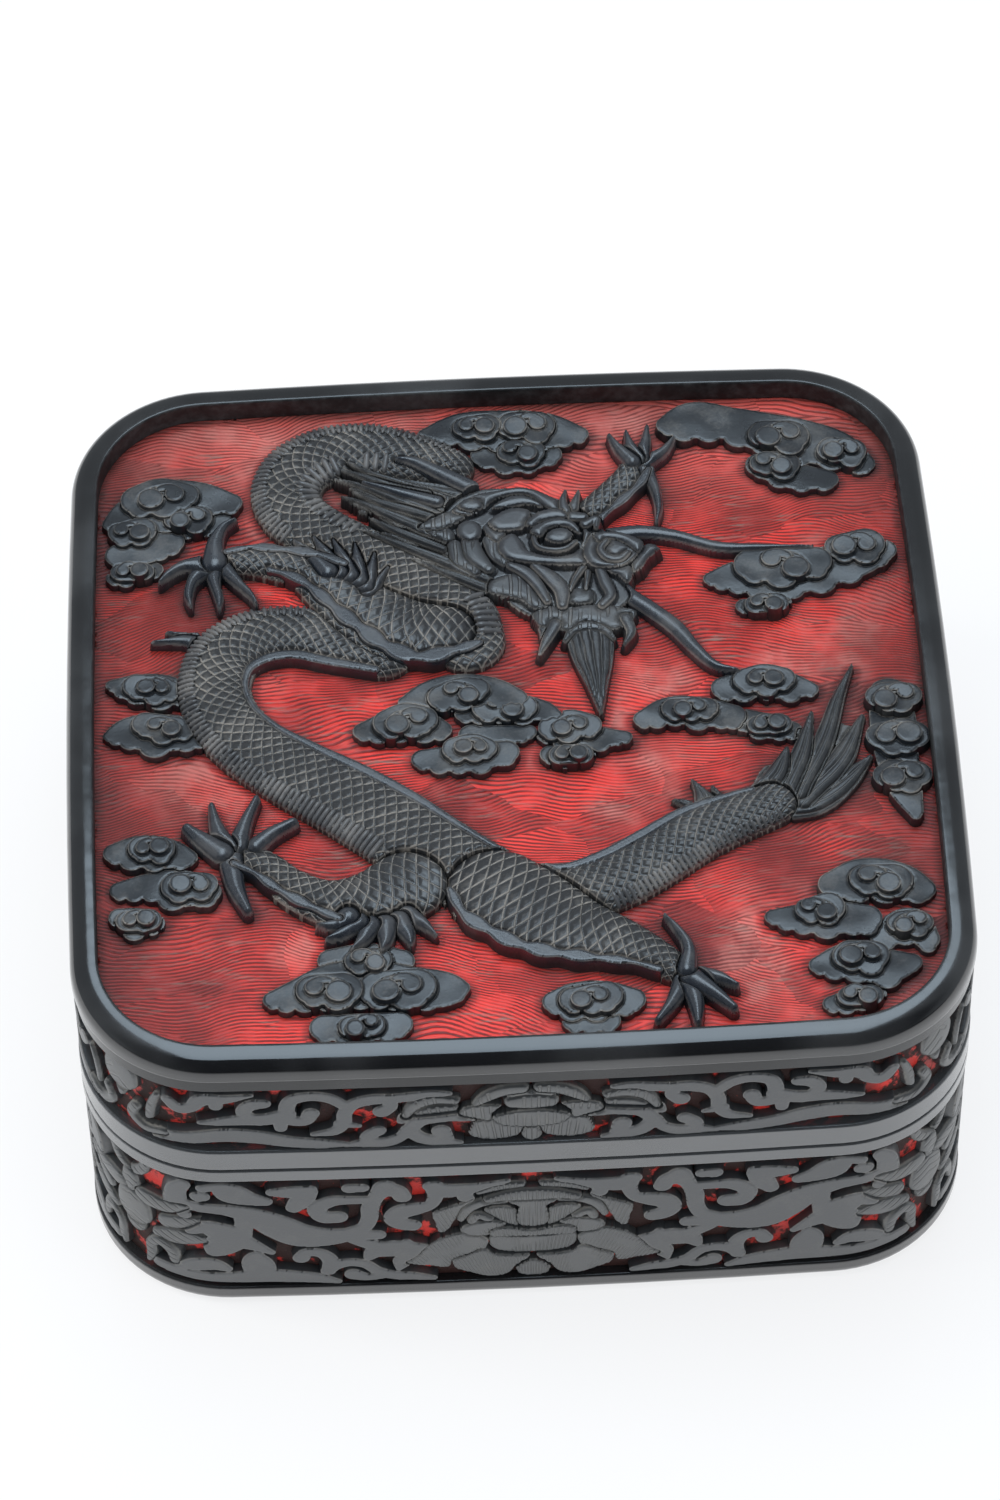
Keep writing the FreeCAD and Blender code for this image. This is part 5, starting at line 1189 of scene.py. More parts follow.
def repeated(name, places, ups, sizes, margin, pitch, unit, material):
    """Copies of a unit every pitch along a line on the lid, a margin away from what is laid."""
    mesh = bpy.data.meshes.new(name)
    kept = laid_at(places[:, 0], places[:, 1]) < -margin
    edges = [(place, place + 1) for place in range(len(places) - 1) if kept[place] and kept[place + 1]]
    mesh.from_pydata((places * MM).tolist(), edges, [])
    mesh.attributes.new("up", "FLOAT_VECTOR", "POINT").data.foreach_set("vector", ups.ravel())
    mesh.attributes.new("size", "FLOAT", "POINT").data.foreach_set("value", sizes)
    piece = bpy.data.objects.new(name, mesh)
    model = bpy.data.objects.new(name + "_unit", unit)
    bpy.context.scene.collection.objects.link(piece)
    copying = piece.modifiers.new("copies", "NODES")
    copying.node_group = along_path
    copying[path_inputs["Pitch"]] = pitch * MM
    copying[path_inputs["Unit"]] = model
    copying[path_inputs["Finish"]] = material
    depsgraph = bpy.context.evaluated_depsgraph_get()
    made = bpy.data.meshes.new_from_object(piece.evaluated_get(depsgraph), depsgraph=depsgraph)
    piece.modifiers.remove(copying)
    piece.data = made
    bpy.data.objects.remove(model)
    made.polygons.foreach_set("use_smooth", np.ones(len(made.polygons), bool))
    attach(piece, "lid")
    return piece


def unit_mesh(name, rows):
    """Small mesh through rows of points in millimetres, each row as long as the next."""
    count = len(rows[0])
    points = [tuple(value * MM for value in point) for row in rows for point in row]
    faces = [(corner, corner + 1, corner + count + 1, corner + count)
             for row in range(len(rows) - 1) for corner in range(row * count, row * count + count - 1)]
    mesh = bpy.data.meshes.new(name)
    mesh.from_pydata(points, [], faces)
    mesh.flip_normals()
    return mesh


def rib_unit(width, length, height):
    """Rounded bar across a path, open below, where it sinks into the body."""
    rows = []
    for step in range(9):
        v = step / 4 - 1
        end = math.sqrt(max(0.0, 1 - v**4))
        rows.append([(width / 2 * math.sin(angle) * max(end, 0.15), length / 2 * v,
                      height * (math.cos(angle) * end - 0.5))
                     for angle in np.linspace(-math.pi / 2, math.pi / 2, 7)])
    return unit_mesh("rib", rows)


def along_body(points, share, low, rise, lift=0.0):
    """Line along a domed stroke at a share of its half width: places, what is up there, sizes."""
    line, length = flowing(points)
    heading = np.gradient(line[:, :2], axis=0)
    heading /= np.hypot(*heading.T)[:, None]
    left = np.stack([-heading[:, 1], heading[:, 0]], 1)
    width = line[:, 2]
    fall = math.sqrt(1 - share**2)
    level = GROUND + low + (rise - low) * fall + lift
    slope = (rise - low) * share / (width * fall)
    places = np.column_stack([line[:, :2] + left * (share * width)[:, None], np.full(len(line), level)])
    return places, np.column_stack([left * slope[:, None], np.ones(len(line))]), width / 8.2


SPIKE_SHARES = [
    [(-0.805, 0.232, 0.003), (-0.768, 0.236, 0.009), (-0.722, 0.236, 0.016), (-0.690, 0.215, 0.022)],
    [(-0.772, 0.262, 0.003), (-0.745, 0.254, 0.008), (-0.705, 0.245, 0.014)],
]
BODY_LOW = 1.4
BODY_RISE = 4.4
rib = rib_unit(1.15, 4.6, 0.75)
ray = rib_unit(1.5, 5.6, 0.8)
for name, table in (("dragon_neck", NECK_SHARES), ("dragon_trunk", TRUNK_SHARES)):
    points = shares([table])[0]
    ribs = along_body(points, -0.80, BODY_LOW, BODY_RISE, -0.1)
    backs = along_body(points, 0.62, BODY_LOW, BODY_RISE, -0.15)
    repeated(name + "_ribs", *ribs, 2.4, 1.35, rib, edge_black)
    if name == "dragon_neck":
        repeated(name + "_rays", *backs, 2.2, 1.75, ray, edge_black)
    carving = Carving()
    board = drawn([points])
    deep = behind(board, in_front)
    if name == "dragon_trunk":
        back_line = along_body(points, 0.84, 0.0, 0.0)[0]
        strip = [(x, y, 0.95 + 0.3 * math.sin(0.02 * place)) for place, (x, y) in enumerate(back_line[:, :2])]
        edge = Board((board.x[0], board.y[0]), (board.x[-1], board.y[-1]), PITCH)
        edge.stroke(strip[::12])
        carving.plate(edge, flat_face(3.05, 0.3), 1, behind(edge, in_front), 0.2)
        strip_board = np.full(lid_board.deep.shape, -REACH)
        strip_board[edge.part_of(lid_board)] = edge.deep
        deep = np.minimum(deep, -strip_board[board.part_of(lid_board)])
    carving.plate(board, scaled_face(BODY_LOW, BODY_RISE, 2.4), 0, deep)
    cover(in_front, board)
    if name == "dragon_trunk":
        stepped(carving, shares(SPIKE_SHARES), domed_face(2.0, 3.1), in_front.copy(), 1)
    carved_piece(carving, name, [scale_black, edge_black], on_lid, "lid")

TAIL_WEB_SHARES = [
    [(0.530, -0.280), (0.575, -0.190), (0.610, -0.200), (0.650, -0.090), (0.680, -0.140), (0.750, 0.030),
     (0.745, -0.080), (0.778, -0.095), (0.748, -0.200), (0.782, -0.205), (0.730, -0.285), (0.600, -0.345)],
]
carving = Carving()
covered = in_front.copy()
stepped(carving, shares(TAIL_FIN_SHARES), combed_face(1.9, 3.3, 2.3, 0.4), covered, step=0.1)
cover(covered, lay(carving, shares(TAIL_WEB_SHARES), flat_face(1.7), covered))
in_front[:] = covered
carved_piece(carving, "dragon_tail_fin", [hair_black], on_lid, "lid")


# Clouds: banks of scalloped lobes with a curl on each, cut from the same black lacquer in flat
# steps: the curls first, then the upper tier and the lower one. Every plate leans a little, so
# each catches the light in its own way.

CLOUD_SHARES = {
    "cloud_north_west": (
        [[(-0.90, 0.60, 0.020), (-0.85, 0.62, 0.055), (-0.78, 0.65, 0.075), (-0.70, 0.66, 0.060),
          (-0.62, 0.65, 0.030)],
         [(-0.88, 0.50, 0.035), (-0.82, 0.52, 0.050), (-0.76, 0.54, 0.035)],
         [(-0.89, 0.435, 0.022), (-0.85, 0.445, 0.034), (-0.80, 0.460, 0.024)],
         [(-0.76, 0.60, 0.030), (-0.70, 0.59, 0.040), (-0.64, 0.60, 0.024)]],
        [[(-0.83, 0.66, 0.034), (-0.78, 0.67, 0.040), (-0.73, 0.67, 0.028)],
         [(-0.87, 0.56, 0.024), (-0.83, 0.57, 0.028)],
         [(-0.74, 0.60, 0.024), (-0.70, 0.60, 0.028)]],
    ),
    "cloud_north": (
        [[(-0.16, 0.84, 0.020), (-0.08, 0.85, 0.050), (0.02, 0.84, 0.065), (0.12, 0.83, 0.060),
          (0.20, 0.82, 0.025)],
         [(-0.02, 0.77, 0.040), (0.07, 0.75, 0.045), (0.13, 0.76, 0.030)]],
        [[(-0.06, 0.85, 0.024), (-0.02, 0.85, 0.028)],
         [(0.05, 0.85, 0.030), (0.10, 0.845, 0.034)],
         [(0.04, 0.77, 0.024), (0.08, 0.765, 0.028)]],
    ),
    "cloud_north_east": (
        [[(0.41, 0.83, 0.030), (0.47, 0.84, 0.060), (0.55, 0.83, 0.055), (0.63, 0.80, 0.065),
          (0.72, 0.77, 0.070), (0.80, 0.74, 0.060), (0.86, 0.70, 0.030)],
         [(0.62, 0.70, 0.040), (0.70, 0.66, 0.045), (0.77, 0.65, 0.030)]],
        [[(0.64, 0.79, 0.030), (0.69, 0.78, 0.036)],
         [(0.63, 0.70, 0.024), (0.67, 0.695, 0.030)],
         [(0.79, 0.735, 0.026), (0.83, 0.725, 0.028)]],
    ),
    "cloud_east": (
        [[(0.48, 0.36, 0.020), (0.55, 0.36, 0.050), (0.64, 0.35, 0.060), (0.73, 0.37, 0.060),
          (0.82, 0.40, 0.060), (0.885, 0.42, 0.030)],
         [(0.55, 0.275, 0.022), (0.60, 0.27, 0.026), (0.64, 0.28, 0.020)]],
        [[(0.58, 0.385, 0.035), (0.66, 0.385, 0.042), (0.72, 0.39, 0.030)],
         [(0.79, 0.43, 0.030), (0.84, 0.435, 0.035)]],
    ),
    "cloud_west": (
        [[(-0.895, 0.115, 0.018), (-0.84, 0.10, 0.045), (-0.78, 0.09, 0.050), (-0.74, 0.08, 0.036)],
         [(-0.905, -0.03, 0.014), (-0.86, -0.025, 0.045), (-0.79, -0.035, 0.060),
          (-0.73, -0.04, 0.048), (-0.70, -0.05, 0.028)]],
        [[(-0.84, 0.10, 0.024), (-0.80, 0.09, 0.027), (-0.765, 0.085, 0.020)],
         [(-0.82, -0.01, 0.024), (-0.78, -0.025, 0.028), (-0.735, -0.03, 0.020)]],
    ),
    "cloud_west_low": (
        [[(-0.89, -0.37, 0.030), (-0.83, -0.37, 0.050), (-0.77, -0.38, 0.044), (-0.73, -0.39, 0.024)],
         [(-0.88, -0.47, 0.026), (-0.81, -0.465, 0.040), (-0.74, -0.48, 0.055), (-0.69, -0.49, 0.036)],
         [(-0.88, -0.55, 0.028), (-0.84, -0.565, 0.042), (-0.81, -0.565, 0.030)]],
        [[(-0.83, -0.365, 0.024), (-0.79, -0.37, 0.024)],
         [(-0.75, -0.475, 0.030), (-0.70, -0.475, 0.026)]],
    ),
    "cloud_middle_back": (
        [[(-0.235, 0.025, 0.018), (-0.17, 0.045, 0.045), (-0.10, 0.055, 0.052),
          (-0.03, 0.045, 0.045), (0.015, 0.03, 0.030)],
         [(-0.33, -0.05, 0.028), (-0.27, -0.04, 0.046), (-0.20, -0.04, 0.046),
          (-0.16, -0.055, 0.030)]],
        [[(-0.27, -0.04, 0.030), (-0.235, -0.03, 0.034), (-0.20, -0.03, 0.028)],
         [(-0.15, 0.03, 0.026), (-0.10, 0.045, 0.030), (-0.07, 0.055, 0.020)]],
    ),
    "cloud_middle": (
        [[(-0.10, -0.01, 0.028), (-0.04, 0.0, 0.042), (0.03, -0.005, 0.042), (0.08, -0.015, 0.028),
          (0.105, -0.025, 0.013)],
         [(-0.20, -0.135, 0.030), (-0.14, -0.14, 0.040), (-0.07, -0.14, 0.042),
          (-0.015, -0.13, 0.034)],
         [(-0.09, -0.075, 0.032), (-0.02, -0.08, 0.032), (0.04, -0.07, 0.020)]],
        [[(-0.05, -0.005, 0.027), (-0.01, 0.005, 0.030), (0.03, -0.005, 0.024)],
         [(-0.125, -0.12, 0.024), (-0.09, -0.115, 0.026), (-0.06, -0.12, 0.020)]],
    ),
    "cloud_middle_right": (
        [[(0.08, -0.08, 0.026), (0.14, -0.085, 0.040), (0.20, -0.10, 0.034), (0.255, -0.10, 0.018)],
         [(0.085, -0.14, 0.026), (0.13, -0.15, 0.028), (0.17, -0.145, 0.018)]],
        [[(0.09, -0.07, 0.022), (0.13, -0.065, 0.030), (0.175, -0.07, 0.022)]],
    ),
    "cloud_east_middle": (
        [[(0.30, -0.05, 0.026), (0.36, -0.03, 0.042), (0.44, -0.04, 0.045), (0.50, -0.05, 0.034)],
         [(0.49, 0.03, 0.036), (0.56, 0.04, 0.046), (0.63, 0.03, 0.042), (0.68, 0.02, 0.022)],
         [(0.52, -0.06, 0.034), (0.58, -0.085, 0.040), (0.63, -0.095, 0.026)]],
        [[(0.54, 0.045, 0.024), (0.58, 0.045, 0.030), (0.62, 0.045, 0.022)],
         [(0.37, -0.03, 0.022), (0.44, -0.03, 0.022)]],
    ),
    "cloud_east_edge": (
        [[(0.86, 0.0, 0.050), (0.86, -0.10, 0.058), (0.86, -0.20, 0.052), (0.87, -0.29, 0.040),
          (0.885, -0.35, 0.020)]],
        [[(0.85, -0.02, 0.030), (0.88, -0.02, 0.030)],
         [(0.85, -0.14, 0.034), (0.88, -0.13, 0.034)],
         [(0.85, -0.245, 0.032), (0.88, -0.25, 0.030)]],
    ),
    "cloud_south_east": (
        [[(0.55, -0.62, 0.022), (0.61, -0.63, 0.042), (0.68, -0.635, 0.050), (0.75, -0.64, 0.040)],
         [(0.69, -0.545, 0.040), (0.76, -0.53, 0.060), (0.84, -0.545, 0.055), (0.885, -0.56, 0.030)],
         [(0.79, -0.68, 0.040), (0.85, -0.66, 0.045), (0.88, -0.70, 0.030)],
         [(0.64, -0.755, 0.026), (0.71, -0.75, 0.055), (0.79, -0.77, 0.050), (0.84, -0.76, 0.026)],
         [(0.66, -0.86, 0.024), (0.72, -0.85, 0.034), (0.76, -0.84, 0.020)]],
        [[(0.63, -0.615, 0.022), (0.67, -0.61, 0.028)],
         [(0.83, -0.66, 0.024), (0.86, -0.66, 0.024)],
         [(0.76, -0.535, 0.028), (0.82, -0.54, 0.032)],
         [(0.71, -0.74, 0.028), (0.75, -0.745, 0.030)]],
    ),
    "cloud_south": (
        [[(0.06, -0.83, 0.030), (0.11, -0.83, 0.050), (0.17, -0.83, 0.050), (0.23, -0.83, 0.030)],
         [(0.10, -0.88, 0.030), (0.17, -0.885, 0.032)]],
        [[(0.10, -0.83, 0.024), (0.17, -0.825, 0.028)]],
    ),
    "cloud_south_west": (
        [[(-0.55, -0.79, 0.024), (-0.49, -0.78, 0.045), (-0.42, -0.76, 0.060), (-0.34, -0.76, 0.065),
          (-0.26, -0.77, 0.055), (-0.17, -0.785, 0.045), (-0.14, -0.78, 0.020)],
         [(-0.42, -0.69, 0.034), (-0.34, -0.69, 0.045), (-0.27, -0.70, 0.034)],
         [(-0.44, -0.87, 0.036), (-0.36, -0.875, 0.040), (-0.28, -0.87, 0.034)]],
        [[(-0.46, -0.775, 0.030), (-0.40, -0.78, 0.034)],
         [(-0.32, -0.78, 0.034), (-0.24, -0.78, 0.034)],
         [(-0.36, -0.70, 0.024), (-0.32, -0.70, 0.024)]],
    ),
}


CLOUD_EDGE = 0.20
CLOUD_GAP = 0.12


def cloud_plate(carving, lobes, strokes, rise, covered, gap=CLOUD_GAP):
    """One flat plate of lobes (x, y, radius) and strokes, leaning a little, cut behind the rest."""
    spots = np.array(lobes + [spot for stroke in strokes for spot in stroke])
    board = board_round(spots[:, :2], spots[:, 2].max() + REACH)
    for x, y, radius in lobes:
        board.disc(x, y, radius)
    for stroke in strokes:
        board.draw(stroke)
    x, y = spots[:, :2].mean(0)
    lean = (0.04 * math.sin(2.1 * x + y), 0.05 * math.cos(1.7 * y - x))
    carving.plate(board, flat_face(rise, CLOUD_EDGE, lean, (x, y)), 0, behind(board, covered, gap))
    cover(covered, board)


def lobed(drawing):
    """Round lobes along the front of a stroke, large and small in turn, and the stroke itself."""
    line, length = flowing(drawing)
    lobes = []
    due = 0.0
    for place, (x, y, width) in enumerate(line):
        if length[place] >= due or place == len(line) - 1:
            share = 0.62 * (1.0 if len(lobes) % 2 else 0.84)
            lobes.append((x, y - 0.48 * width, max(width * share, 0.8)))
            due = length[place] + 1.15 * width
    return lobes, [[(x, y + 0.12 * width, width * 0.92) for x, y, width in drawing]]


def comma(x, y, width, turn, lean):
    """Head and tail of a curl, turned by lean."""
    def at(across, up, radius):
        """Point of the curl, and its radius there, all in shares of its width."""
        across *= turn
        return (x + width * (across * math.cos(lean) - up * math.sin(lean)),
                y + width * (across * math.sin(lean) + up * math.cos(lean)), width * radius)
    tail = [at(-0.80, 0.10, 0.34), at(-0.25, 0.42, 0.36), at(0.40, 0.42, 0.26), at(0.75, 0.20, 0.12)]
    return [at(-0.55, -0.15, 0.66)], [tail]


for number, (name, tiers) in enumerate(CLOUD_SHARES.items()):
    carving = Carving()
    low, high = [shares(tier) for tier in tiers]
    covered = in_front.copy()
    for x, y, width in [max(drawing, key=lambda spot: spot[2]) for drawing in low]:
        if all(math.hypot(x - spot[0], y - spot[1]) > 1.25 * width + spot[2]
               for drawing in high for spot in drawing):
            high.append([(x - 0.35 * width, y, 0.36 * width), (x + 0.35 * width, y, 0.42 * width)])
    collars = []
    for order, drawing in enumerate(high):
        x, y, width = [sum(values) / len(values) for values in zip(*drawing)]
        turn = (-1)**(number + order)
        lean = 0.45 * math.sin(1.7 * x + y)
        width = max(1.32 * width, 3.1)
        head, tail = comma(x, y, width, turn, lean)
        small = comma(x + 0.28 * width * turn, y + 0.30 * width, 0.74 * width, -turn, lean)
        cloud_plate(carving, head, [], 4.0, covered)
        cloud_plate(carving, *small, 3.6, covered)
        cloud_plate(carving, [], tail, 3.3, covered)
        collars.append([(x - 0.75 * width, y + 0.1 * width, 0.85 * width),
                        (x + 0.75 * width, y + 0.15 * width, 0.90 * width)])
    for order, drawing in enumerate(high):
        lobes, strokes = lobed([(x, y, width * 1.45) for x, y, width in drawing])
        cloud_plate(carving, lobes, strokes + [collars[order]], 2.95 - 0.12 * order, covered)
    for order, drawing in enumerate(low):
        cloud_plate(carving, *lobed(drawing), 2.0 - 0.14 * order, covered, gap=GROOVE)
    in_front[:] = covered
    carved_piece(carving, name, [cloud_black], on_lid, "lid")


# Ground of the lid: red lacquer scored with fine wavy lines, patch by patch, like water.
# Rubbing has turned its open parts pink and painted sheen pales the back; painted shade and soot darken it
# close to the ornament.

DUST = (0.22, 0.15, 0.125)
SHADED = (0.10, 0.018, 0.014)
SCORED = (0.075, 0.006, 0.006)
SCORE_PITCH = 0.95
# paler towards the back of the lid: painted sheen
PALE_SHEEN_BACK = (45.0, 88.0)
SHADED_SIDES = (52.0, 92.0)
GROUND_HALF = 95
GROUND_PITCH = 0.65

lid_red, start, shader = new_finish("lid_red", ior=1.4)
where = grain_coordinates(start)
near = start.node("ShaderNodeAttribute", {"attribute_name": "level"}, None, 2)
patch = start.node("ShaderNodeVectorMath", {"operation": "MULTIPLY"}, {0: where, 1: (0.028, 0.062, 0.0)})
sway = start.node("ShaderNodeTexNoise", None, {"Vector": where, "Scale": 0.05, "Detail": 2.0}, 1)
drift = start.node("ShaderNodeVectorMath", {"operation": "MULTIPLY_ADD"},
                   {0: sway, 1: (0.9, 0.9, 0.0), 2: patch})
cells = start.node("ShaderNodeTexVoronoi", {"voronoi_dimensions": "2D"},
                   {"Vector": drift, "Scale": 1.0}, "Color")
chance, other = cells.parts()[:2]
east, north = where.parts()[:2]
rolling = start.noise(where, 0.035, 1.0) * 15.0 + start.noise(where, 0.3, 2.0) * 0.5
phase = north + east * (chance * 0.6 - 0.3) + rolling
wave = (phase * (2 * math.pi / SCORE_PITCH)).maths("SINE")
fade = start.noise(where, 0.13, 2.0).ramp(0.30, 0.55)
groove = wave.ramp(-0.3, 0.85) * (0.35 + fade * 0.65)
broad = start.noise(where, 0.028, 3.0, 0.6)
blotches = start.noise(where, 0.12, 4.0, 0.65).ramp(0.38, 0.62)
worn = broad.ramp(0.50, 0.66) * near.ramp(0.8, 2.8) * (0.35 + blotches * 0.65)
streak = start.node("ShaderNodeMapping", None, {"Vector": where, "Scale": (0.13, 1.0, 1.0)})
dirt = start.noise(streak, 0.9, 4.0, 0.7).ramp(0.52, 0.72)
# painted shade and soot: darkest right at the ornament, fading out within about 2.6 mm of it; some cells
# darken a little with dirt
grime_and_shade = (1 - near.ramp(0.05, 2.6)) * (0.50 + dirt * 0.45) + other.ramp(0.6, 1.0) * 0.10
dust = dirt * (0.25 + start.noise(where, 0.045, 2.0).ramp(0.42, 0.60) * 0.60)
red = (start.noise(where, 0.05, 3.0) * 0.8 + chance * 0.3).ramp(0.3, 0.75).tint(RED_DEEP, RED_BRIGHT)
# painted sheen: the ground turns paler and pinker towards the back, added to the rubbed patches
worn = (worn + north.ramp(*PALE_SHEEN_BACK) * 0.45).maths("MINIMUM", 1.0)
red = (worn * 0.75).tint(red, RED_WEAR_AND_SHEEN)
red = (groove * 0.88 * (1.0 - worn * 0.3)).tint(red, SCORED)
red = dust.tint(red, DUST)
red = (east.maths("ABSOLUTE").ramp(*SHADED_SIDES) * 0.55).tint(red, SHADED)
red = grime_and_shade.maths("MINIMUM", 0.9).tint(red, SOOT_AND_SHADE)
feed(shader, base_color=red, roughness=0.30 + grime_and_shade * 0.3 + worn * 0.12,
     normal=(1 - groove).bump(0.14 * MM, 0.8))

board = Board((-GROUND_HALF, -GROUND_HALF), (GROUND_HALF, GROUND_HALF), GROUND_PITCH)
board.deep = inside_outline(board.x[None, :], board.y[:, None], FRAME_INSET - 0.4)


ground = Carving()
ground.plate(board, lambda spot: -laid_at(spot.x, spot.y), 0, board.deep, draft=0.0)
carved_piece(ground, "lid_top_ground", [lid_red],
             lambda x, y, level: on_lid(x, y, 0 * level), "lid")


# Round the sides: scrolling vines with a lotus in the middle of each side and a blossom on each
# corner, cut from the black lacquer down to the red. All four sides carry the same drawing.

BASE_VINE_SHARES = [
    [(0.055, 0.925, 0.006), (0.10, 0.885, 0.012), (0.15, 0.86, 0.017), (0.20, 0.86, 0.020),
     (0.225, 0.90, 0.014)],
    [(0.15, 0.86, 0.016), (0.148, 0.79, 0.015)],
    [(0.215, 0.89, 0.018), (0.215, 0.80, 0.014), (0.228, 0.725, 0.013), (0.26, 0.695, 0.018),
     (0.295, 0.665, 0.021), (0.306, 0.61, 0.020), (0.292, 0.56, 0.018), (0.268, 0.54, 0.016)],
    [(0.288, 0.81, 0.016), (0.297, 0.86, 0.017), (0.325, 0.89, 0.022)],
    [(0.325, 0.90, 0.022), (0.345, 0.82, 0.015), (0.36, 0.72, 0.016), (0.363, 0.62, 0.015),
     (0.375, 0.54, 0.015), (0.41, 0.48, 0.018)],
    [(0.345, 0.46, 0.014), (0.40, 0.47, 0.016)],
    [(0.35, 0.79, 0.012), (0.40, 0.795, 0.012), (0.45, 0.785, 0.016), (0.478, 0.72, 0.017),
     (0.463, 0.645, 0.018), (0.432, 0.64, 0.017)],
    [(0.375, 0.905, 0.012), (0.405, 0.905, 0.013)],
    [(0.40, 0.475, 0.018), (0.46, 0.455, 0.026), (0.52, 0.48, 0.034), (0.565, 0.56, 0.034),
     (0.61, 0.65, 0.026), (0.68, 0.73, 0.016), (0.74, 0.745, 0.014), (0.785, 0.755, 0.017)],
    [(0.77, 0.94, 0.013), (0.785, 0.88, 0.017), (0.79, 0.80, 0.020), (0.79, 0.72, 0.020),
     (0.775, 0.66, 0.014)],
    [(0.49, 0.905, 0.012), (0.53, 0.885, 0.017), (0.575, 0.885, 0.011)],
    [(0.495, 0.88, 0.017), (0.51, 0.81, 0.021), (0.528, 0.74, 0.015)],
    [(0.59, 0.80, 0.012), (0.63, 0.835, 0.020), (0.665, 0.885, 0.027), (0.70, 0.94, 0.012),
     (0.73, 0.92, 0.010)],
    [(0.730, 0.85, 0.014), (0.740, 0.84, 0.014)],
    [(0.645, 0.68, 0.016), (0.642, 0.60, 0.016), (0.65, 0.52, 0.020), (0.675, 0.45, 0.034),
     (0.70, 0.385, 0.028), (0.715, 0.335, 0.014)],
    [(0.665, 0.47, 0.030), (0.70, 0.53, 0.026), (0.725, 0.56, 0.020), (0.765, 0.50, 0.008)],
    [(0.66, 0.45, 0.024), (0.62, 0.385, 0.014), (0.585, 0.32, 0.007)],
    [(0.225, 0.03, 0.007), (0.27, 0.055, 0.012), (0.32, 0.075, 0.013), (0.352, 0.12, 0.012),
     (0.375, 0.18, 0.012), (0.41, 0.205, 0.012), (0.445, 0.18, 0.014), (0.462, 0.13, 0.013)],
    [(0.34, 0.07, 0.010), (0.375, 0.06, 0.011), (0.405, 0.09, 0.016)],
    [(0.46, 0.13, 0.013), (0.455, 0.23, 0.015), (0.475, 0.30, 0.013), (0.508, 0.31, 0.013),
     (0.520, 0.26, 0.015)],
    [(0.44, 0.025, 0.007), (0.48, 0.06, 0.014), (0.54, 0.085, 0.018), (0.60, 0.10, 0.020),
     (0.68, 0.09, 0.016), (0.76, 0.085, 0.014), (0.84, 0.09, 0.013)],
    [(0.61, 0.10, 0.018), (0.615, 0.18, 0.029), (0.622, 0.26, 0.021), (0.618, 0.31, 0.009)],
    [(0.685, 0.17, 0.008), (0.715, 0.21, 0.017), (0.75, 0.195, 0.018), (0.795, 0.135, 0.008)],
    [(0.22, 0.27, 0.020), (0.27, 0.31, 0.022), (0.32, 0.325, 0.024), (0.355, 0.30, 0.018),
     (0.368, 0.25, 0.010)],
    [(0.275, 0.33, 0.016), (0.283, 0.385, 0.009)],
    [(0.335, 0.34, 0.016), (0.375, 0.385, 0.014), (0.405, 0.41, 0.007)],
    [(0.25, 0.23, 0.020), (0.288, 0.215, 0.020), (0.302, 0.13, 0.006)],
]

BASE_LOTUS_SHARES = [
    [(0.0, 0.40), (0.050, 0.405), (0.094, 0.415), (0.098, 0.445), (0.085, 0.475), (0.0, 0.455)],
    [(0.060, 0.51), (0.080, 0.545), (0.110, 0.545), (0.155, 0.50), (0.163, 0.47), (0.150, 0.435),
     (0.120, 0.415), (0.096, 0.42), (0.082, 0.47)],
    [(0.0, 0.16), (0.020, 0.13), (0.038, 0.07), (0.030, 0.03), (0.0, 0.01)],
    [(0.0, 0.235), (0.060, 0.245), (0.088, 0.275), (0.098, 0.33), (0.095, 0.40), (0.050, 0.39),
     (0.0, 0.385)],
    [(0.008, 0.215), (0.040, 0.12), (0.058, 0.05), (0.100, 0.03), (0.140, 0.07), (0.178, 0.13),
     (0.180, 0.19), (0.150, 0.235), (0.106, 0.285), (0.090, 0.245), (0.050, 0.220)],
    [(0.108, 0.29), (0.150, 0.24), (0.182, 0.18), (0.190, 0.13), (0.230, 0.145), (0.285, 0.185),
     (0.262, 0.235), (0.245, 0.30), (0.225, 0.365), (0.195, 0.415), (0.160, 0.445), (0.120, 0.42),
     (0.100, 0.36)],
    [(0.0, 0.480), (0.030, 0.50), (0.034, 0.60), (0.030, 0.66), (0.055, 0.715), (0.0, 0.725)],
    [(0.032, 0.49), (0.062, 0.515), (0.085, 0.575), (0.108, 0.64), (0.075, 0.675), (0.040, 0.64),
     (0.034, 0.58)],
    [(0.0, 0.78, 0.022), (0.05, 0.775, 0.018), (0.10, 0.745, 0.010)],
    [(0.050, 0.728, 0.010), (0.100, 0.725, 0.014), (0.142, 0.66, 0.014), (0.160, 0.57, 0.010)],
    [(0.205, 0.45), (0.218, 0.55), (0.223, 0.63), (0.192, 0.685), (0.155, 0.725), (0.128, 0.765),
     (0.138, 0.70), (0.160, 0.62), (0.176, 0.55), (0.188, 0.48)],
    [(0.025, 0.865, 0.012), (0.070, 0.850, 0.013), (0.120, 0.805, 0.009)],
    [(0.095, 0.56, 0.010), (0.125, 0.60, 0.012), (0.135, 0.55, 0.012)],
]

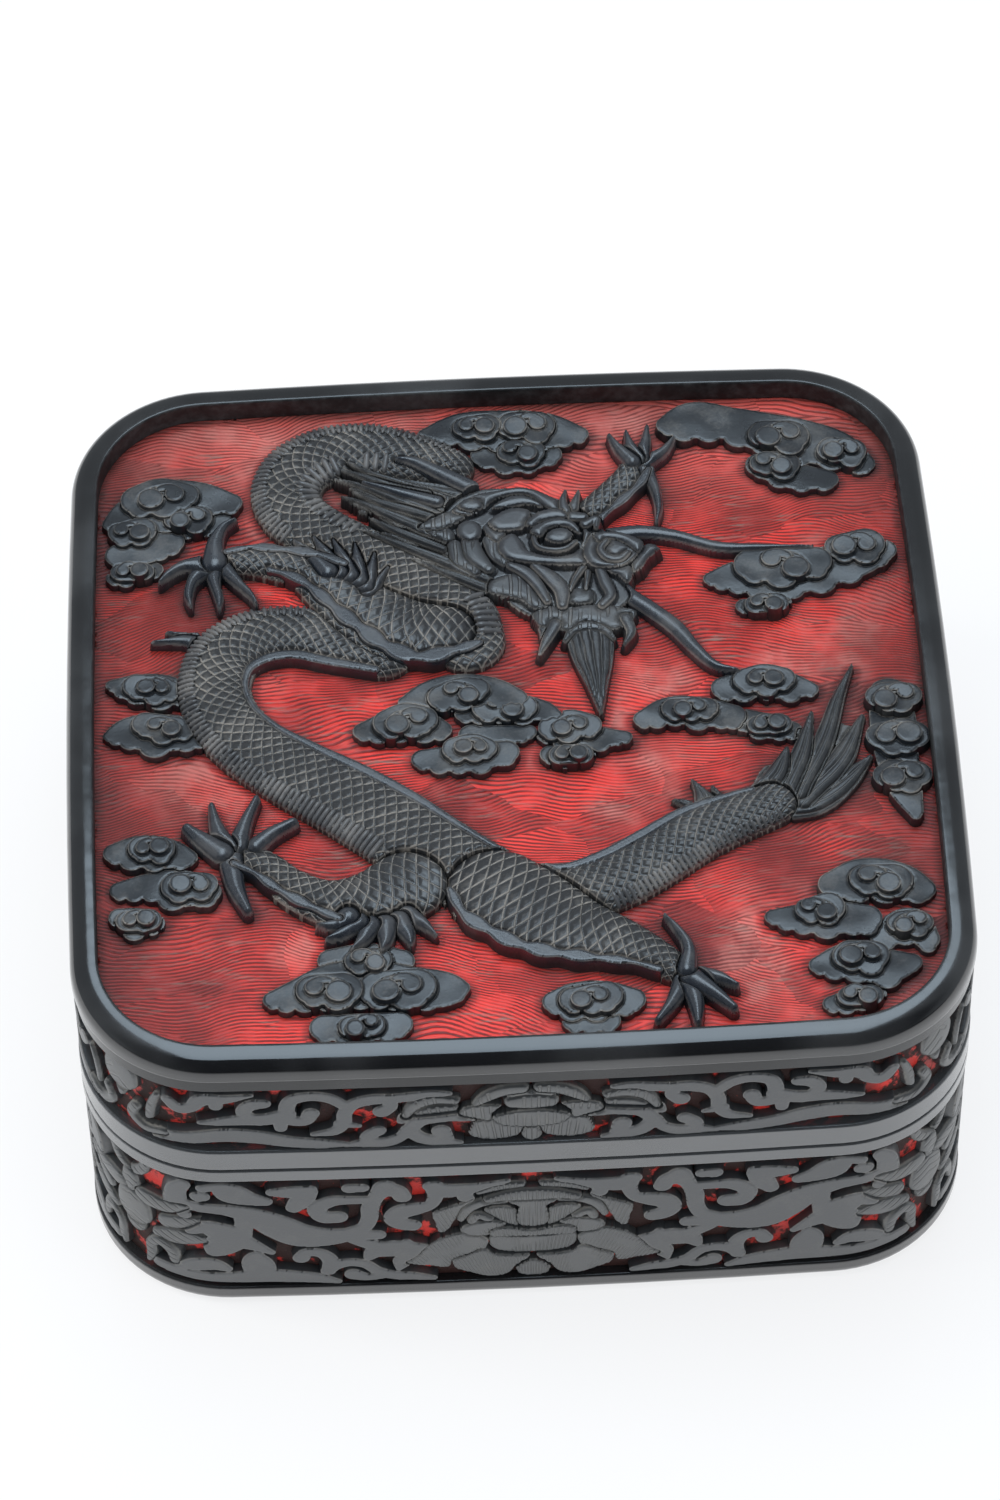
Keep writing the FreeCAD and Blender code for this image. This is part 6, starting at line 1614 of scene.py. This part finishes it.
BASE_CORNER_SHARES = [
    [(-0.105, 0.17, 0.013), (-0.098, 0.25, 0.016), (-0.072, 0.295, 0.016), (-0.047, 0.24, 0.014),
     (-0.045, 0.14, 0.014), (-0.038, 0.07, 0.009)],
    [(0.0, 0.47, 0.052), (0.0, 0.52, 0.050)],
    [(-0.07, 0.36, 0.020), (-0.12, 0.40, 0.028), (-0.165, 0.42, 0.016)],
    [(-0.09, 0.50, 0.024), (-0.13, 0.55, 0.020), (-0.16, 0.60, 0.010)],
    [(-0.04, 0.66, 0.028), (-0.10, 0.67, 0.022), (-0.14, 0.72, 0.010)],
    [(0.0, 0.70, 0.030), (0.0, 0.78, 0.024)],
    [(-0.05, 0.97, 0.012), (-0.03, 0.88, 0.016), (0.0, 0.84, 0.012)],
    [(0.0, 0.33, 0.030), (0.0, 0.38, 0.030)],
]

LID_VINE_SHARES = [
    [(0.178, 0.86, 0.006), (0.21, 0.86, 0.011), (0.26, 0.83, 0.013), (0.30, 0.81, 0.013),
     (0.35, 0.80, 0.015), (0.387, 0.73, 0.014), (0.405, 0.58, 0.013), (0.408, 0.43, 0.013),
     (0.425, 0.31, 0.012), (0.475, 0.25, 0.006)],
    [(0.31, 0.80, 0.013), (0.306, 0.68, 0.013), (0.324, 0.60, 0.016)],
    [(0.415, 0.42, 0.012), (0.375, 0.37, 0.005)],
    [(0.405, 0.72, 0.012), (0.435, 0.84, 0.013), (0.48, 0.885, 0.013), (0.52, 0.82, 0.014),
     (0.530, 0.68, 0.014), (0.522, 0.50, 0.014), (0.492, 0.48, 0.013), (0.478, 0.60, 0.015)],
    [(0.53, 0.60, 0.016), (0.57, 0.53, 0.017), (0.63, 0.52, 0.015), (0.68, 0.50, 0.011),
     (0.72, 0.475, 0.005)],
    [(0.545, 0.50, 0.014), (0.545, 0.37, 0.011)],
    [(0.578, 0.78, 0.012), (0.607, 0.76, 0.015), (0.624, 0.66, 0.013), (0.61, 0.55, 0.013)],
    [(0.605, 0.92, 0.005), (0.66, 0.87, 0.012), (0.715, 0.85, 0.016), (0.735, 0.73, 0.013),
     (0.765, 0.68, 0.014), (0.785, 0.77, 0.012)],
    [(0.68, 0.86, 0.012), (0.682, 0.76, 0.012)],
    [(0.405, 0.07, 0.007), (0.46, 0.09, 0.014), (0.53, 0.14, 0.016), (0.60, 0.23, 0.019),
     (0.68, 0.27, 0.019), (0.75, 0.20, 0.016), (0.82, 0.14, 0.013)],
    [(0.13, 0.45, 0.011), (0.20, 0.455, 0.012), (0.245, 0.41, 0.015), (0.262, 0.28, 0.015),
     (0.245, 0.15, 0.015), (0.20, 0.07, 0.014), (0.158, 0.03, 0.007)],
    [(0.19, 0.10, 0.016), (0.197, 0.24, 0.017)],
    [(0.272, 0.30, 0.010), (0.285, 0.17, 0.012), (0.315, 0.09, 0.014), (0.36, 0.085, 0.013),
     (0.405, 0.05, 0.006)],
    [(0.36, 0.10, 0.014), (0.355, 0.20, 0.014), (0.334, 0.28, 0.014)],
    [(0.172, 0.67, 0.012), (0.205, 0.69, 0.013), (0.25, 0.62, 0.013), (0.275, 0.50, 0.012),
     (0.283, 0.43, 0.008)],
]

LID_LOTUS_SHARES = [
    [(0.0, 0.53), (0.050, 0.505), (0.085, 0.42), (0.070, 0.32), (0.030, 0.27), (0.0, 0.26)],
    [(0.0, 0.29), (0.018, 0.20), (0.016, 0.05), (0.0, 0.02)],
    [(0.065, 0.60), (0.102, 0.63), (0.150, 0.57), (0.158, 0.50), (0.125, 0.42), (0.090, 0.38),
     (0.086, 0.48)],
    [(0.018, 0.26), (0.026, 0.12), (0.070, 0.045), (0.112, 0.06), (0.136, 0.14), (0.132, 0.25),
     (0.122, 0.345), (0.092, 0.385), (0.045, 0.31)],
    [(0.0, 0.66, 0.026), (0.040, 0.655, 0.020)],
    [(0.020, 0.87, 0.016), (0.060, 0.845, 0.018), (0.100, 0.74, 0.016), (0.122, 0.64, 0.008)],
    [(0.165, 0.70, 0.012), (0.205, 0.735, 0.016), (0.250, 0.66, 0.017), (0.272, 0.50, 0.012)],
    [(0.170, 0.58, 0.012), (0.215, 0.56, 0.014), (0.250, 0.52, 0.008)],
    [(0.0, 0.76, 0.018), (0.040, 0.76, 0.014)],
]

LID_CORNER_SHARES = [
    [(-0.110, 0.19, 0.012), (-0.060, 0.15, 0.014), (-0.030, 0.28, 0.014), (-0.042, 0.43, 0.013)],
    [(-0.075, 0.36, 0.010), (-0.078, 0.48, 0.011), (-0.085, 0.62, 0.010), (-0.098, 0.78, 0.008)],
    [(0.0, 0.78, 0.048), (0.0, 0.84, 0.048)],
    [(0.0, 0.48, 0.010), (0.0, 0.60, 0.020)],
]


def both_halves(drawings):
    """Drawings that keep to one half, with their mirror images."""
    crossing = [drawing for drawing in drawings if not any(point[0] for point in drawing)]
    halves = [drawing for drawing in drawings if any(point[0] for point in drawing)]
    return crossing + halves + [[(-point[0], *point[1:]) for point in drawing] for drawing in halves]


def on_wall(quarter, turn=0.0):
    """Place on the wall of one side, or of one corner with a turn of an eighth more."""
    angle = math.pi / 2 * quarter + turn

    def place(x, z, level):
        """Points in space of spots of a drawing, at their levels over the ground of the wall."""
        inset = SIDE_RELIEF - level
        corner = CORNER_RADIUS - inset
        if turn:
            y = -(CORNER_SPOT * math.sqrt(2) + np.sqrt(corner**2 - x**2))
        else:
            beyond = np.clip(np.abs(x) - CORNER_SPOT, 0, None)
            flank = np.sqrt((SIDE_RADIUS - inset)**2 - x**2) - SIDE_SPOT
            bend = CORNER_SPOT + np.sqrt(np.clip(corner**2 - beyond**2, 0, None))
            y = -np.where(beyond > corner * CORNER_SPOT / (CORNER_SPOT + SIDE_SPOT), bend, flank)
        return np.stack([x * math.cos(angle) - y * math.sin(angle),
                         x * math.sin(angle) + y * math.cos(angle), z], 1)
    return place


def band_drawings(drawings, low, high):
    """Drawings in shares of half the side and of the band's height, in millimetres."""
    return [[(point[0] * HALF_SIDE, low + point[1] * (high - low)) +
             tuple(width * HALF_SIDE for width in point[2:]) for point in drawing] for drawing in drawings]


SIDE_RELIEF = 2.6
SIDE_FACE = 2.3
SIDE_PITCH = 0.34
SIDE_NAMES = ["front", "right", "back", "left"]
LOTUS_HALF = 29
CORNER_START = 60
VINE_HALF = 90
BLOSSOM_HALF = 30
BLOSSOM_GAP = 0.12
BLOSSOM_STEPS = 0.16
VINE_SHARE = 1.3


def both_sides(drawing):
    """A drawing that starts in the middle, as one with its mirror image, or else the two."""
    mirrored = [(-point[0], *point[1:]) for point in drawing]
    if drawing[0][0] != 0:
        return [drawing, mirrored]
    if len(drawing[0]) == 2:
        return [drawing + mirrored[-2:0:-1]]
    return [mirrored[:0:-1] + drawing] if drawing[-1][0] else [drawing]


def blossom_carving(drawings, low, high):
    """A blossom: petals and strokes, each laid a little lower than the one before it."""
    carving = Carving()
    whole = Board((-BLOSSOM_HALF, low - REACH), (BLOSSOM_HALF, high + REACH), SIDE_PITCH)
    whole.deep = np.maximum(whole.deep, -9 * REACH)
    for order, drawing in enumerate(band_drawings(drawings, low, high)):
        rise = SIDE_FACE - BLOSSOM_STEPS * (order % 4)
        for twin in both_sides(drawing):
            board = Board((-BLOSSOM_HALF, low), (BLOSSOM_HALF, high), SIDE_PITCH)
            board.draw(twin)
            part = board.part_of(whole)
            carving.plate(board, domed_face(rise - 0.55, rise, 0.45), 0,
                          np.minimum(board.deep, -whole.deep[part] - BLOSSOM_GAP))
            whole.deep[part] = np.maximum(whole.deep[part], board.deep)
    return carving, whole


def sampled(board, x, y):
    """Depth of a board's drawing at any points."""
    column = np.clip((x - board.x[0]) / board.pitch, 0, len(board.x) - 1.001)
    row = np.clip((y - board.y[0]) / board.pitch, 0, len(board.y) - 1.001)
    left, low = column.astype(int), row.astype(int)
    u, v = column - left, row - low
    deep = board.deep
    return ((deep[low, left] * (1 - u) + deep[low, left + 1] * u) * (1 - v)
            + (deep[low + 1, left] * (1 - u) + deep[low + 1, left + 1] * u) * v)


def carve_band(half, low, high, vine, lotus, corner):
    """Carving of one half's four sides and corners between two levels."""
    middle, middle_board = blossom_carving(lotus, low, high)
    blossom, corner_board = blossom_carving(corner, low, high)
    board = Board((-VINE_HALF, low), (VINE_HALF, high), SIDE_PITCH)
    for drawing in both_halves(band_drawings(vine, low, high)):
        board.draw([(x, z, width * VINE_SHARE) for x, z, width in drawing])
    x, z = np.meshgrid(board.x, board.y)
    wall = on_wall(0)(x.ravel(), z.ravel(), np.full(x.size, SIDE_FACE))
    diagonal = ((np.abs(wall[:, 0]) + wall[:, 1]) / math.sqrt(2)).reshape(x.shape)
    taken = np.maximum(np.where(np.abs(x) < LOTUS_HALF, sampled(middle_board, x, z), -REACH),
                       np.where(np.abs(x) > CORNER_START, sampled(corner_board, diagonal, z), -REACH))
    deep = np.minimum(board.deep, -taken - GROOVE)
    deep = np.minimum(deep, np.minimum(z - low, high - z))
    scroll = Carving()
    scroll.plate(board, flat_face(SIDE_FACE, 0.25), 0, deep)
    for quarter, side in enumerate(SIDE_NAMES):
        carved_piece(scroll, "%s_scroll_%s" % (half, side), [vine_black], on_wall(quarter), half)
        carved_piece(middle, "%s_lotus_%s" % (half, side), [petal_black], on_wall(quarter), half)
    corners = Carving()
    for quarter in range(4):
        place = on_wall(quarter, math.pi / 4)
        for points, faces, facts in zip(blossom.points, blossom.faces, blossom.facts):
            corners.add(place(*points.T), faces - faces.min(), facts, 0)
    carved_piece(corners, half + "_corner_blossoms", [petal_black],
                 lambda x, y, z: np.stack([x, y, z], 1), half)


vine_black = black_relief("vine_black", None, (0.026, 0.031, 0.036), (0.14, 0.135, 0.125), 0.24, 1.9)
base_low, base_high = [corner.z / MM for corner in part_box("base_side_ground")]
lid_low, lid_high = [corner.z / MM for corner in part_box("lid_side_ground")]
carve_band("base", base_low, base_high, BASE_VINE_SHARES, BASE_LOTUS_SHARES, BASE_CORNER_SHARES)
carve_band("lid", lid_low, lid_high, LID_VINE_SHARES, LID_LOTUS_SHARES, LID_CORNER_SHARES)

(low, high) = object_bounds()
